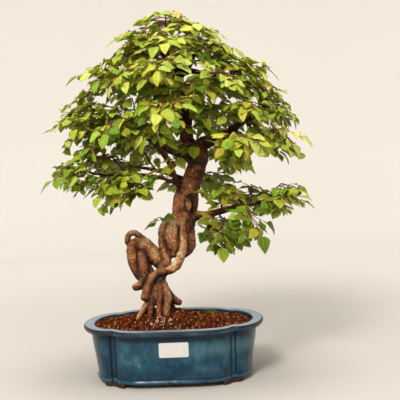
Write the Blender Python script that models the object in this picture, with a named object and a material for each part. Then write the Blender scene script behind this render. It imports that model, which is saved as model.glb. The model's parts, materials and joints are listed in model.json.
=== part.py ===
"""A hornbeam bonsai in its glazed pot, as separate solids.

Lengths are in millimetres here, and in metres once a mesh is made. X runs to the right, Y away from
the viewer and Z up. The pot is first modelled round x = y = 0, and at the end the whole plant is moved
so that the middle of its bounding box stands on the origin.
"""
import math
import random

import bmesh
import bpy
from mathutils import Quaternion, Vector, noise
from mathutils.bvhtree import BVHTree

MM = 0.001
UP = Vector((0, 0, 1))
GAP = 0.3

# Pot
POT_LENGTH = 270
POT_DEPTH = 178
POT_HEIGHT = 85
FOOT_HEIGHT = 6
FLOOR_TOP = 15
CREASE_X = 86
CREASE_Y = POT_DEPTH / 2 - 19
FRONT_POWER = 5
FRONT_SHARES = (0, 0.6, 0.82, 0.96)
LOBE_POWER = 2.1
LOBE_STEPS = 4
LOBE_START = 80
GROOVE_DEPTH = 2.2
GROOVE_SPACING = 2.1
GROOVE_RIB = 0.4
LIP_HEIGHT = 7
LIP_ROUND = 1.2
OVERHANG = 10.2
RIM_WIDTH = 15
WALL_FOOT_INSET = 20
MOULDING_OUT = 2.5
MOULDING_HEIGHT = 4.5
INNER_FOOT_INSET = 23
FOOT_STATIONS = slice(2, 9)
FOOT_OUTER_INSET = WALL_FOOT_INSET - 1
FOOT_INNER_INSET = WALL_FOOT_INSET + 13
FOOT_SHOULDER = 3.5
FOOT_TAPER = 0.92
FOOT_SINK = 1.5
DRAIN_X = 62
DRAIN_RADIUS = 11
SCREEN_SIDE = 30
SCREEN_THICKNESS = 1

# Soil
SOIL_EDGE = 77.5
MOUND_HEIGHT = 24
MOUND_PLACE = Vector((-14, -10))
MOUND_SPREAD = Vector((72, 46))
SOIL_GRID = (23, 14)
SOIL_GRID_SHIFT = (1.3, 0.7)
SOIL_CLEARANCE = 0.45
GRAIN_RELIEF = 2
ROOT_HOLE_GAP = 0.45

# Sticker on the front of the pot
LABEL_LEFT, LABEL_RIGHT = -19, 22.5
LABEL_LOW, LABEL_HIGH = 46, 67.5
LABEL_THICKNESS = 0.4

# Wood: each route is a list of (x, y, z, radius)
CORE_ROUTES = {
    "trunk": [(22, -2, 226, 15), (21, 0, 240, 17.5), (23, 2, 258, 18.5), (27, 4, 276, 17),
              (35, 5, 294, 15), (42, 4, 312, 14.5), (46, 2, 330, 15.5), (48, 1, 341, 13)],
    "root_light": [(23, -13, 244, 6), (20, -15, 226, 6), (20, -16, 205, 6), (18, -16, 191, 6),
                   (14, -17, 179, 6.5), (9, -18, 170, 7), (1, -18, 163, 7), (-10, -18, 160, 7)],
    "root_low": [(-8, -18, 160, 7), (-20, -20, 157, 7), (-31, -22, 148, 7.2), (-36, -23, 136, 7.8),
                 (-38, -23, 124, 8.3)],
    "knob_left": [(2, -3, 234, 10), (-5, -6, 221, 12.5), (-6, -7, 206, 12.5), (-6, -8, 190, 11),
                  (-10, -10, 176, 10), (-13, -12, 165, 9)],
    "knob_middle": [(8, -4, 232, 10), (8, -8, 216, 9), (7, -9, 200, 8.5), (2, -9, 186, 6.5),
                    (-6, -10, 172, 6)],
    "bulge_right": [(28, 0, 236, 11), (25, 0, 215, 9), (26, 1, 200, 10.5), (24, 0, 189, 8.5),
                    (17, -3, 179, 5)],
    "ridge": [(-13, -10, 165, 9), (-20, -8, 181, 9.4), (-29, -6, 195, 10), (-39, -6, 204, 9.8),
              (-48, -8, 206, 8.2)],
    "web": [(-38, 3, 196, 8), (-34, 3, 183, 9), (-27, 0, 175, 8), (-18, -5, 169, 8)],
    "finger_left": [(-48, -8, 204, 7.5), (-55, -12, 199, 7), (-57, -15, 187, 7), (-56, -17, 174, 6.5),
                    (-54, -17, 163, 6), (-50, -16, 153, 5)],
    "finger_right": [(-34, -6, 197, 8), (-41, -12, 188, 8), (-44, -15, 174, 7.8), (-43, -18, 161, 7.5),
                     (-42, -19, 149, 7), (-46, -19, 141, 6.5), (-54, -18, 138, 5.5)],
    "arch": [(-58, -10, 197, 4.2), (-63, -10, 207, 4), (-61, -10, 215, 4), (-55, -9, 218, 4),
             (-48, -8, 214, 4.2), (-41, -7, 208, 4.5)],
    "neck": [(-12, -13, 164, 10), (-18, -15, 150, 9.5), (-18, -16, 137, 10)],
    "base_left": [(-22, -20, 136, 7), (-25, -26, 122, 5), (-32, -30, 115, 4.6), (-41, -35, 106, 4.6),
                  (-51, -39, 95, 4.4), (-58, -42, 84, 4)],
    "base_red": [(-26, -22, 130, 5.4), (-29, -28, 116, 5), (-32, -33, 102, 4.6), (-33, -36, 84, 4)],
    "base_middle": [(-18, -22, 138, 6), (-17, -28, 127, 4.6), (-19, -31, 115, 4.2), (-20, -34, 101, 4),
                    (-20, -36, 84, 3.8)],
    "base_right": [(-15, -17, 143, 7), (-11, -21, 134, 6.8), (-7, -23, 125, 6.5), (-8, -25, 113, 6),
                   (-10, -27, 101, 5.6), (-11, -28, 84, 5)],
    "stub_right": [(-13, -13, 138, 6.5), (-3, -12, 124, 5.6), (7, -11, 116, 5), (12, -11, 112, 4.2)],
    "base_back": [(-17, -8, 140, 8), (-13, 6, 123, 7), (-7, 20, 107, 6), (0, 32, 88, 5.4)],
    "base_far_left": [(-21, -9, 134, 7.5), (-33, 3, 116, 6), (-45, 12, 100, 5.2), (-55, 18, 84, 4.4)],
}

CORE_SIDES = 12
CORE_VOXEL = 1.4
CORE_TRIANGLES = 1000
ROUNDED_END = ((0.6, 0.8), (0.95, 0.35))
BRANCH_ROUTES = {
    "low_right": [(34, 0, 238, 7), (56, -6, 241, 5.6), (77, -12, 246, 5), (102, -18, 253, 4.2),
                  (124, -22, 256, 3.2), (142, -26, 259, 2.4)],
    "up_right": [(44, 2, 336, 13), (54, 3, 348, 11), (67, 6, 353, 9), (82, 8, 356, 8),
                 (98, 10, 367, 6.6), (115, 13, 380, 5), (134, 18, 388, 3)],
    "right_mid": [(96, 10, 365, 4.6), (112, 1, 354, 3.8), (128, -8, 354, 3), (140, -14, 357, 2.2)],
    "leader": [(39, 2, 326, 12), (31, 2, 346, 11.5), (29, 2, 369, 10.2), (28, 0, 392, 9),
               (25, 0, 417, 7.6), (22, 0, 443, 6.4), (24, 0, 457, 5.4)],
    "top_left": [(23, 0, 455, 4.6), (9, -3, 470, 3.8), (-5, -6, 486, 2.8), (-15, -8, 499, 2.2)],
    "top_right": [(24, 0, 455, 4.4), (38, -1, 466, 3.8), (45, -2, 484, 3), (45, -4, 504, 2.2)],
    "apex": [(10, -3, 469, 3.2), (5, -1, 494, 2.6), (4, 0, 518, 2.2)],
    "high_left": [(22, 0, 446, 4.6), (8, -2, 455, 4), (-14, -6, 459, 3.4), (-38, -10, 458, 2.8),
                  (-58, -12, 456, 2.2)],
    "high_right": [(23, 0, 452, 4.6), (40, -2, 457, 4.2), (63, -6, 450, 3.8), (84, -9, 450, 3),
                   (101, -11, 448, 2.3)],
    "left_front": [(20, 0, 272, 5), (11, -4, 296, 4.2), (2, -6, 320, 3.9), (-11, -8, 340, 3.7),
                   (-24, -10, 354, 3.4), (-46, -12, 364, 3.1), (-74, -14, 373, 2.7),
                   (-100, -18, 378, 2.2)],
    "left_back": [(34, 6, 324, 6), (14, 8, 334, 4.8), (-3, 10, 343, 4.5), (-21, 12, 355, 4.2),
                  (-44, 14, 364, 3.8), (-72, 20, 377, 3.1), (-104, 26, 389, 2.3)],
    "left_low": [(22, 0, 284, 4.5), (6, -5, 292, 3.1), (-12, -9, 299, 2.9), (-36, -14, 304, 2.7),
                 (-66, -19, 305, 2.5), (-90, -23, 306, 2.3), (-108, -26, 308, 2.1)],
    "back_low": [(32, 10, 284, 5.6), (33, 36, 291, 4.2), (30, 62, 293, 3.3), (24, 84, 291, 2.3)],
    "back_mid": [(38, 12, 320, 7), (29, 40, 336, 4.8), (8, 66, 346, 3.6), (-10, 84, 349, 2.3)],
    "back_right": [(80, 8, 355, 6), (93, 32, 359, 4.2), (103, 52, 361, 3.2), (110, 68, 360, 2.3)],
    "back_high": [(27, 0, 398, 5.4), (22, 26, 412, 4), (16, 50, 418, 3.2), (12, 72, 419, 2.3)],
    "back_left": [(30, 8, 292, 5), (2, 22, 304, 3.4), (-32, 44, 314, 2.9), (-56, 56, 318, 2.2)],
    "front_mid": [(28, 0, 378, 5), (21, -24, 390, 3.6), (14, -46, 393, 2.9), (9, -66, 392, 2.2)],
    "front_right": [(84, 8, 357, 5), (92, -18, 352, 3.6), (97, -42, 349, 2.9), (99, -62, 346, 2.2)],
    "front_high": [(23, 0, 430, 4.8), (15, -24, 442, 3.4), (8, -46, 446, 2.7), (4, -64, 446, 2.1)],
}

# Leafy sprays: name, branch, place along the branch, middle of the spray, tilt of its plane in degrees
SPRAYS = [
    ("apex", "apex", 1.0, (5, 0, 541), 0),
    ("top_left", "top_left", 1.0, (-30, -11, 514), 16),
    ("top_left_side", "top_left", 0.4, (-60, 4, 487), 18),
    ("top_right", "top_right", 1.0, (44, -7, 524), 12),
    ("top_side", "top_right", 0.55, (66, -6, 497), 18),
    ("top_back", "apex", 0.5, (16, 42, 512), 20),
    ("top_front", "top_left", 0.4, (8, -42, 504), 26),
    ("high_left", "high_left", 1.0, (-90, -14, 461), 14),
    ("high_left_front", "high_left", 0.55, (-50, -54, 452), 28),
    ("high_left_back", "high_left", 0.6, (-56, 42, 454), 22),
    ("high_right", "high_right", 1.0, (118, -13, 462), 14),
    ("high_right_front", "high_right", 0.55, (88, -54, 440), 28),
    ("high_right_back", "high_right", 0.6, (94, 42, 442), 22),
    ("shoulder_left", "high_left", 0.75, (-110, 8, 428), 20),
    ("shoulder_right", "high_right", 0.8, (146, 8, 428), 20),
    ("left_front", "left_front", 1.0, (-128, -24, 388), 18),
    ("left_front_side", "left_front", 0.72, (-66, -58, 385), 32),
    ("left_front_near", "left_front", 0.5, (-22, -56, 375), 38),
    ("left_back", "left_back", 1.0, (-134, 32, 404), 16),
    ("left_back_side", "left_back", 0.7, (-72, 68, 397), 26),
    ("left_low", "left_low", 1.0, (-130, -32, 316), 20),
    ("left_low_side", "left_low", 0.7, (-78, -60, 292), 36),
    ("left_mid", "left_low", 0.62, (-90, 6, 338), 18),
    ("up_right", "up_right", 1.0, (158, 24, 406), 16),
    ("up_right_top", "up_right", 0.78, (112, 50, 411), 22),
    ("right_mid", "right_mid", 1.0, (160, -27, 365), 22),
    ("right_inner", "right_mid", 0.25, (88, -16, 328), 34),
    ("up_right_side", "up_right", 0.7, (112, -50, 404), 26),
    ("low_right", "low_right", 1.0, (160, -33, 272), 24),
    ("low_right_side", "low_right", 0.62, (116, -58, 240), 44),
    ("low_right_back", "low_right", 0.66, (112, 24, 271), 30),
    ("low_right_near", "low_right", 0.35, (75, -44, 224), 46),
    ("back_low", "back_low", 1.0, (18, 112, 297), 28),
    ("back_low_side", "back_low", 0.6, (66, 84, 307), 32),
    ("back_mid", "back_mid", 1.0, (-26, 112, 359), 24),
    ("back_right", "back_right", 1.0, (120, 98, 369), 24),
    ("back_high", "back_high", 1.0, (8, 101, 431), 20),
    ("back_left", "back_left", 1.0, (-82, 76, 329), 26),
    ("front_mid", "front_mid", 1.0, (4, -96, 401), 30),
    ("front_right", "front_right", 1.0, (102, -92, 353), 34),
    ("front_high", "front_high", 1.0, (0, -92, 457), 26),
]
CROWN_AXIS = Vector((22, 6, 0))
SEAT_SHARE = 0.4
STEM_RADIUS = 1.7
STEM_TIP_RADIUS = 0.8
STEM_SIDES = 4
STEM_STEPS = 6
STEM_LIFT = 0.07
STEM_SWEEP = 0.1
STEM_ROOT_DEPTH = 0.9

# Shoots of a spray: place along the stem, turn from the stem's heading and rise, in degrees, leaves
SHOOTS = [(0.42, -62, 9, 3), (0.72, 60, 5, 3), (1.0, 0, 2, 4)]
APEX_TURN = 1.9
FIRST_LEAF = 9
RIB_HALF_WIDTH = 0.7
RIB_SAG = 0.0028

# Leaves: the edge as (share of the length, share of the half width), from the right base round the tip
LEAF_SHAPE = [(0.30, 0.98), (0.66, 0.70), (1.0, 0.0), (0.70, -0.60), (0.34, -0.96)]
LEAF_TRIANGLES = ((0, 1, 6), (1, 5, 6), (1, 2, 5), (2, 4, 5), (2, 3, 4))
LEAF_LENGTH = 23
LEAF_HALF_WIDTH = 7.8
LEAF_PITCH = 9
LEAF_ANGLE = 54
LEAF_BASE = 1.3
SHOOT_BASE_SHARE = 0.03
LEAF_THICKNESS = 0.75
LEAF_SAG = 0.008
TEST_CLEARANCE = 0.8


def clear_scene():
    for thing in list(bpy.data.objects):
        bpy.data.objects.remove(thing)


def material(name, colour, roughness, metallic=0.0):
    made = bpy.data.materials.new(name)
    made.use_nodes = True
    shader = made.node_tree.nodes["Principled BSDF"]
    shader.inputs["Base Color"].default_value = (*colour, 1)
    shader.inputs["Roughness"].default_value = roughness
    shader.inputs["Metallic"].default_value = metallic
    return made


def solid(name, verts, faces):
    """A new object from points in millimetres."""
    mesh = bpy.data.meshes.new(name)
    mesh.from_pydata([Vector(v) * MM for v in verts], [], faces)
    mesh.update()
    thing = bpy.data.objects.new(name, mesh)
    bpy.context.scene.collection.objects.link(thing)
    return thing


def applied(thing):
    """Make the modifiers' result the object's own mesh."""
    graph = bpy.context.evaluated_depsgraph_get()
    graph.update()
    mesh = bpy.data.meshes.new_from_object(thing.evaluated_get(graph))
    thing.modifiers.clear()
    thing.data = mesh
    return thing


def cut(thing, tool, operation="DIFFERENCE"):
    modifier = thing.modifiers.new(operation.lower(), "BOOLEAN")
    modifier.operation = operation
    modifier.solver = "EXACT"
    modifier.object = tool
    applied(thing)
    bpy.data.objects.remove(tool)
    return thing


def joined(thing, others, solver="EXACT"):
    """One Boolean union of an object with a collection of others."""
    group = bpy.data.collections.new("parts_of_" + thing.name)
    bpy.context.scene.collection.children.link(group)
    for other in others:
        bpy.context.scene.collection.objects.unlink(other)
        group.objects.link(other)
    modifier = thing.modifiers.new("union", "BOOLEAN")
    modifier.operation = "UNION"
    modifier.solver = solver
    modifier.operand_type = "COLLECTION"
    modifier.collection = group
    applied(thing)
    for other in others:
        bpy.data.objects.remove(other)
    bpy.data.collections.remove(group)
    return thing


def finished(thing, finish, sharp=35):
    thing.data.materials.clear()
    thing.data.materials.append(finish)
    thing.data.shade_smooth()
    thing.data.set_sharp_from_angle(angle=math.radians(sharp))
    return thing


def quarter_plan(inset):
    """The pot's outline from the middle of its front to the middle of its right end."""
    front = POT_DEPTH / 2 - inset
    side = CREASE_Y - inset
    points = []
    for share in FRONT_SHARES:
        sagitta = (front - side) * share ** FRONT_POWER
        points.append((CREASE_X * share, -(front - sagitta)))
    for step, depth in ((-1, GROOVE_DEPTH), (0, -GROOVE_RIB), (1, GROOVE_DEPTH)):
        points.append((CREASE_X + step * GROOVE_SPACING, -(side - depth)))
    reach = POT_LENGTH / 2 - inset - CREASE_X
    for step in range(LOBE_STEPS + 1):
        angle = math.radians(LOBE_START * (1 - step / LOBE_STEPS))
        x = CREASE_X + reach * math.cos(angle) ** (2 / LOBE_POWER)
        y = -side * math.sin(angle) ** (2 / LOBE_POWER)
        points.append((x, y))
    return points


def plan(inset):
    """The whole outline, anticlockwise from the middle of the front."""
    quarter = quarter_plan(inset)
    right = quarter + [(x, -y) for x, y in reversed(quarter[:-1])]
    left = [(-x, y) for x, y in reversed(right[1:-1])]
    return right + left


def wall_profile():
    """(inset, height) from the base moulding up, over the rim and down the inside."""
    lip_low = POT_HEIGHT - LIP_HEIGHT
    lip_top = POT_HEIGHT - LIP_ROUND
    moulding = WALL_FOOT_INSET - MOULDING_OUT
    return [
        (moulding, FOOT_HEIGHT), (moulding, FOOT_HEIGHT + MOULDING_HEIGHT),
        (WALL_FOOT_INSET, FOOT_HEIGHT + MOULDING_HEIGHT + 2), (17.8, 20), (14.5, 42),
        (OVERHANG, lip_low - 1), (1.6, lip_low), (0, lip_low + 2), (0, lip_top),
        (LIP_ROUND, POT_HEIGHT), (RIM_WIDTH, POT_HEIGHT), (RIM_WIDTH + LIP_ROUND, lip_top),
        (INNER_FOOT_INSET, FLOOR_TOP),
    ]


def swept(name, profile):
    """Rings of the plan, one for each (inset, height), closed at both ends."""
    verts = []
    for inset, height in profile:
        verts += [(x, y, height) for x, y in plan(inset)]
    count = len(plan(0))
    faces = []
    for ring in range(len(profile) - 1):
        for k in range(count):
            low, low_next = ring * count + k, ring * count + (k + 1) % count
            faces.append((low, low_next, low_next + count, low + count))
    faces.append(tuple(reversed(range(count))))
    last = (len(profile) - 1) * count
    faces.append(tuple(range(last, last + count)))
    return solid(name, verts, faces)


def cylinder(name, x, y, low, high, radius, sides=14):
    turns = [2 * math.pi * k / sides for k in range(sides)]
    ring = [(x + radius * math.cos(a), y + radius * math.sin(a)) for a in turns]
    verts = [(px, py, low) for px, py in ring] + [(px, py, high) for px, py in ring]
    faces = [(k, (k + 1) % sides, (k + 1) % sides + sides, k + sides) for k in range(sides)]
    faces += [tuple(reversed(range(sides))), tuple(range(sides, 2 * sides))]
    return solid(name, verts, faces)


def foot(side_x, side_y):
    """A low clay foot that follows the outline round one crease."""
    outer = quarter_plan(FOOT_OUTER_INSET)[FOOT_STATIONS]
    inner = quarter_plan(FOOT_INNER_INSET)[FOOT_STATIONS]
    inner = [inner[0], inner[3], inner[-1]]
    middle = Vector((CREASE_X, -(CREASE_Y - (FOOT_OUTER_INSET + FOOT_INNER_INSET) / 2)))
    loop = [Vector(p) for p in outer] + [Vector(p) for p in reversed(inner)]
    verts = []
    for height, shrink in ((0, FOOT_TAPER), (FOOT_SHOULDER, 1), (FOOT_HEIGHT + FOOT_SINK, 1)):
        for p in loop:
            q = middle + (p - middle) * shrink
            verts.append((q.x * side_x, q.y * side_y, height))
    count = len(loop)
    faces = [tuple(reversed(range(count))), tuple(range(2 * count, 3 * count))]
    for ring in range(2):
        for k in range(count):
            low, low_next = ring * count + k, ring * count + (k + 1) % count
            faces.append((low, low_next, low_next + count, low + count))
    if side_x * side_y < 0:
        faces = [tuple(reversed(face)) for face in faces]
    return solid("foot", verts, faces)


def make_pot(finish):
    pot = swept("pot", wall_profile())
    joined(pot, [foot(sx, sy) for sx in (-1, 1) for sy in (-1, 1)])
    for side in (-1, 1):
        cut(pot, cylinder("drain", side * DRAIN_X, 0, 0, FLOOR_TOP + 4, DRAIN_RADIUS))
    return finished(pot, finish)


def inner_inset(height):
    """How far the pot's inner wall lies inside its outline at a height."""
    top = POT_HEIGHT - LIP_ROUND
    top_inset = RIM_WIDTH + LIP_ROUND
    share = (top - height) / (top - FLOOR_TOP)
    return top_inset + share * (INNER_FOOT_INSET - top_inset)


def soil_height(x, y):
    place = Vector((x, y)) - MOUND_PLACE
    far = (place.x / MOUND_SPREAD.x) ** 2 + (place.y / MOUND_SPREAD.y) ** 2
    grain = noise.random_vector()
    return SOIL_EDGE + MOUND_HEIGHT * math.exp(-far) + GRAIN_RELIEF * grain.z


def soil_slab():
    """A slab as wide as the pot, flat below, with the soil's rough heap as its upper side."""
    columns, rows = SOIL_GRID
    wide = columns + 1
    size = wide * (rows + 1)
    places = []
    for row in range(rows + 1):
        for column in range(wide):
            x = POT_LENGTH * (column / columns - 0.5) + SOIL_GRID_SHIFT[0]
            y = POT_DEPTH * (row / rows - 0.5) + SOIL_GRID_SHIFT[1]
            places.append((x, y))
    verts = [(x, y, 0) for x, y in places] + [(x, y, soil_height(x, y)) for x, y in places]
    faces = []
    for row in range(rows):
        for column in range(columns):
            a = row * wide + column
            faces.append((a, a + wide, a + wide + 1, a + 1))
            b = a + size
            faces.append((b, b + 1, b + wide + 1, b + wide))
    rim = list(range(wide)) + [row * wide + columns for row in range(1, rows + 1)]
    rim += [rows * wide + column for column in range(columns - 1, -1, -1)]
    rim += [row * wide for row in range(rows - 1, 0, -1)]
    for a, b in zip(rim, rim[1:] + rim[:1]):
        faces.append((a, b, b + size, a + size))
    return solid("slab", verts, faces)


def make_soil(tree, finish):
    """Grains heaped round the roots: a rough slab trimmed to the inside of the pot."""
    noise.seed_set(11)
    bottom = FLOOR_TOP + GAP + SCREEN_THICKNESS + GAP
    top = SOIL_EDGE + 2 * MOUND_HEIGHT
    soil = swept("soil", [(inner_inset(h) + SOIL_CLEARANCE, h) for h in (bottom, top)])
    cut(soil, soil_slab(), "INTERSECT")
    cut(soil, fattened(tree, ROOT_HOLE_GAP))
    return finished(soil, finish)


def fattened(thing, by):
    """A copy of an object with its surface moved outwards."""
    mesh = thing.data.copy()
    work = bmesh.new()
    work.from_mesh(mesh)
    work.normal_update()
    for vert in work.verts:
        vert.co += vert.normal * by * MM
    work.to_mesh(mesh)
    work.free()
    copy = bpy.data.objects.new(thing.name + "_hole", mesh)
    bpy.context.scene.collection.objects.link(copy)
    return copy


def make_screen(name, x, finish):
    """A plastic mesh square over a drain hole."""
    cells = 5
    mesh = bpy.data.meshes.new(name)
    work = bmesh.new()
    bmesh.ops.create_grid(work, x_segments=cells, y_segments=cells, size=SCREEN_SIDE / 2 * MM)
    work.faces.ensure_lookup_table()
    holes = [work.faces[row * cells + column] for row in (1, 3) for column in (1, 3)]
    bmesh.ops.delete(work, geom=holes, context="FACES")
    low = FLOOR_TOP + GAP
    bmesh.ops.translate(work, verts=work.verts, vec=Vector((x, 0, low)) * MM)
    work.to_mesh(mesh)
    work.free()
    screen = bpy.data.objects.new(name, mesh)
    bpy.context.scene.collection.objects.link(screen)
    modifier = screen.modifiers.new("thickness", "SOLIDIFY")
    modifier.thickness = SCREEN_THICKNESS * MM
    modifier.offset = 1
    applied(screen)
    return finished(screen, finish)


def front_wall(x, z, out):
    """A point in front of the pot's faceted front wall."""
    rings = wall_profile()
    low, high = next((a, b) for a, b in zip(rings, rings[1:]) if a[1] <= z <= b[1])
    share = (z - low[1]) / (high[1] - low[1])
    inset = low[0] + share * (high[0] - low[0])
    stations = quarter_plan(inset)
    left, right = next((a, b) for a, b in zip(stations, stations[1:]) if a[0] <= abs(x) <= b[0])
    along = (abs(x) - left[0]) / (right[0] - left[0])
    return (x, left[1] + along * (right[1] - left[1]) - out, z)


def make_label(finish):
    """A blank paper sticker that follows the wall."""
    heights = (LABEL_LOW, LABEL_HIGH)
    stations = (LABEL_LEFT, 0, LABEL_RIGHT)
    back = [front_wall(x, z, GAP) for z in heights for x in stations]
    front = [front_wall(x, z, GAP + LABEL_THICKNESS) for z in heights for x in stations]
    faces = []
    for k in (0, 1):
        faces.append((k, k + 3, k + 4, k + 1))
        faces.append((k + 6, k + 7, k + 10, k + 9))
    rim = (0, 1, 2, 5, 4, 3)
    for a, b in zip(rim, rim[1:] + rim[:1]):
        faces.append((a, b, b + 6, a + 6))
    return finished(solid("label", back + front, faces), finish)


def smooth_route(route, steps):
    """Points and radii along a Catmull-Rom curve through a route."""
    knots = [Vector(p) for p in route]
    knots = [knots[0] * 2 - knots[1]] + knots + [knots[-1] * 2 - knots[-2]]
    out = []
    for i in range(1, len(knots) - 2):
        a, b, c, d = knots[i - 1:i + 3]
        for step in range(steps):
            t = step / steps
            bend = b * 2 + (c - a) * t
            bend += (a * 2 - b * 5 + c * 4 - d) * t * t
            bend += (b * 3 - a - c * 3 + d) * t * t * t
            out.append(bend / 2)
    out.append(knots[-2])
    return [Vector(p[:3]) for p in out], [p[3] for p in out]


def along(points, share):
    """The point at a share of a line's length, and the line's direction there."""
    spans = [(b - a).length for a, b in zip(points, points[1:])]
    left = share * sum(spans)
    for a, b, span in zip(points, points[1:], spans):
        if left <= span or b is points[-1]:
            return a.lerp(b, min(left / span, 1)), (b - a).normalized()
        left -= span


def tube(points, radii, sides):
    """Vertices and faces of a capped tube round a line."""
    tangents = []
    for k in range(len(points)):
        ahead, behind = points[min(k + 1, len(points) - 1)], points[max(k - 1, 0)]
        tangents.append((ahead - behind).normalized())
    normal = tangents[0].orthogonal().normalized()
    verts = []
    for k, (point, radius, tangent) in enumerate(zip(points, radii, tangents)):
        if k:
            turn = tangents[k - 1].rotation_difference(tangent)
            normal = turn @ normal
        side = tangent.cross(normal)
        for s in range(sides):
            angle = 2 * math.pi * s / sides
            verts.append(point + (normal * math.cos(angle) + side * math.sin(angle)) * radius)
    faces = []
    for k in range(len(points) - 1):
        for s in range(sides):
            a, b = k * sides + s, k * sides + (s + 1) % sides
            faces.append((a, b, b + sides, a + sides))
    faces.append(tuple(reversed(range(sides))))
    last = (len(points) - 1) * sides
    faces.append(tuple(range(last, last + sides)))
    return verts, faces


def rounded_ends(points, radii):
    """Close a root's line in small steps, so that its end is a knob and not a cut."""
    tail = (points[-1] - points[-2]).normalized()
    head = (points[0] - points[1]).normalized()
    end = [(points[-1] + tail * radii[-1] * a, radii[-1] * b) for a, b in ROUNDED_END]
    start = [(points[0] + head * radii[0] * a, radii[0] * b) for a, b in reversed(ROUNDED_END)]
    points = [p for p, _ in start] + points + [p for p, _ in end]
    radii = [r for _, r in start] + radii + [r for _, r in end]
    return points, radii


def make_core():
    """Roots and trunk as one smooth body."""
    verts, faces = [], []
    for route in CORE_ROUTES.values():
        more_verts, more_faces = tube(*rounded_ends(*smooth_route(route, 4)), CORE_SIDES)
        faces += [tuple(i + len(verts) for i in face) for face in more_faces]
        verts += more_verts
    core = solid("trunk", verts, faces)
    remesh = core.modifiers.new("grown", "REMESH")
    remesh.mode = "VOXEL"
    remesh.voxel_size = CORE_VOXEL * MM
    smooth = core.modifiers.new("smooth", "SMOOTH")
    smooth.factor = 0.5
    smooth.iterations = 3
    applied(core)
    slim = core.modifiers.new("slim", "DECIMATE")
    slim.ratio = CORE_TRIANGLES / (2 * len(core.data.polygons))
    slim.use_collapse_triangulate = True
    return applied(core)


def stem_line(branch, share, middle):
    """A spray's stem: from the branch, in a slight rise, to the middle of the spray."""
    start, heading = along(BRANCH_LINES[branch], share)
    end = Vector(middle)
    length = (end - start).length
    bend = (start + end) / 2 + (UP * STEM_LIFT + heading * STEM_SWEEP) * length
    line = []
    for step in range(STEM_STEPS + 1):
        t = step / STEM_STEPS
        line.append(start * (1 - t) ** 2 + bend * 2 * t * (1 - t) + end * t * t)
    return line


def stem_radius(share):
    return STEM_RADIUS + (STEM_TIP_RADIUS - STEM_RADIUS) * share


def stem_stub(line):
    """The stem's inner part, which grows on the branch and ends in the spray's seat."""
    seat, _ = along(line, SEAT_SHARE)
    return [line[0], seat], [STEM_RADIUS, stem_radius(SEAT_SHARE)]


def branch_sides(route):
    """A thick branch gets more sides than a thin one."""
    radius = route[0][3]
    return 8 if radius > 8 else 6 if radius > 5 else 5


def make_branches(core):
    """Branches and the inner part of each spray's stem, grown onto the trunk."""
    bodies = []
    for route in BRANCH_ROUTES.values():
        points, radii = smooth_route(route, 1)
        bodies.append(tube(points, radii, branch_sides(route)))
    for name, branch, share, middle, _ in SPRAYS:
        bodies.append(tube(*stem_stub(stem_line(branch, share, middle)), STEM_SIDES))
    joined(core, [solid("branch", *body) for body in bodies])
    return bodies


class Frame:
    """A place with a direction of growth and an upper side."""

    def __init__(self, origin, direction, upper):
        self.origin = origin
        self.direction = direction.normalized()
        self.upper = (upper - self.direction * upper.dot(self.direction)).normalized()
        self.right = self.direction.cross(self.upper)

    def turned(self, origin, turn=0.0, rise=0.0, roll=0.0):
        """A frame at another place, turned to the left, raised and rolled by some degrees."""
        direction = Quaternion(self.upper, math.radians(turn)) @ self.direction
        lift = Quaternion(direction.cross(self.upper), math.radians(rise))
        direction = lift @ direction
        rolled = Quaternion(direction, math.radians(roll)) @ (lift @ self.upper)
        return Frame(origin, direction, rolled)

    def on_rib(self, place, sag):
        """The frame at a distance along a rib that sinks under its leaves."""
        origin = self.origin + self.direction * place - self.upper * sag * place * place
        slope = 2 * sag * place
        return Frame(origin, self.direction - self.upper * slope, self.upper)


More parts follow.
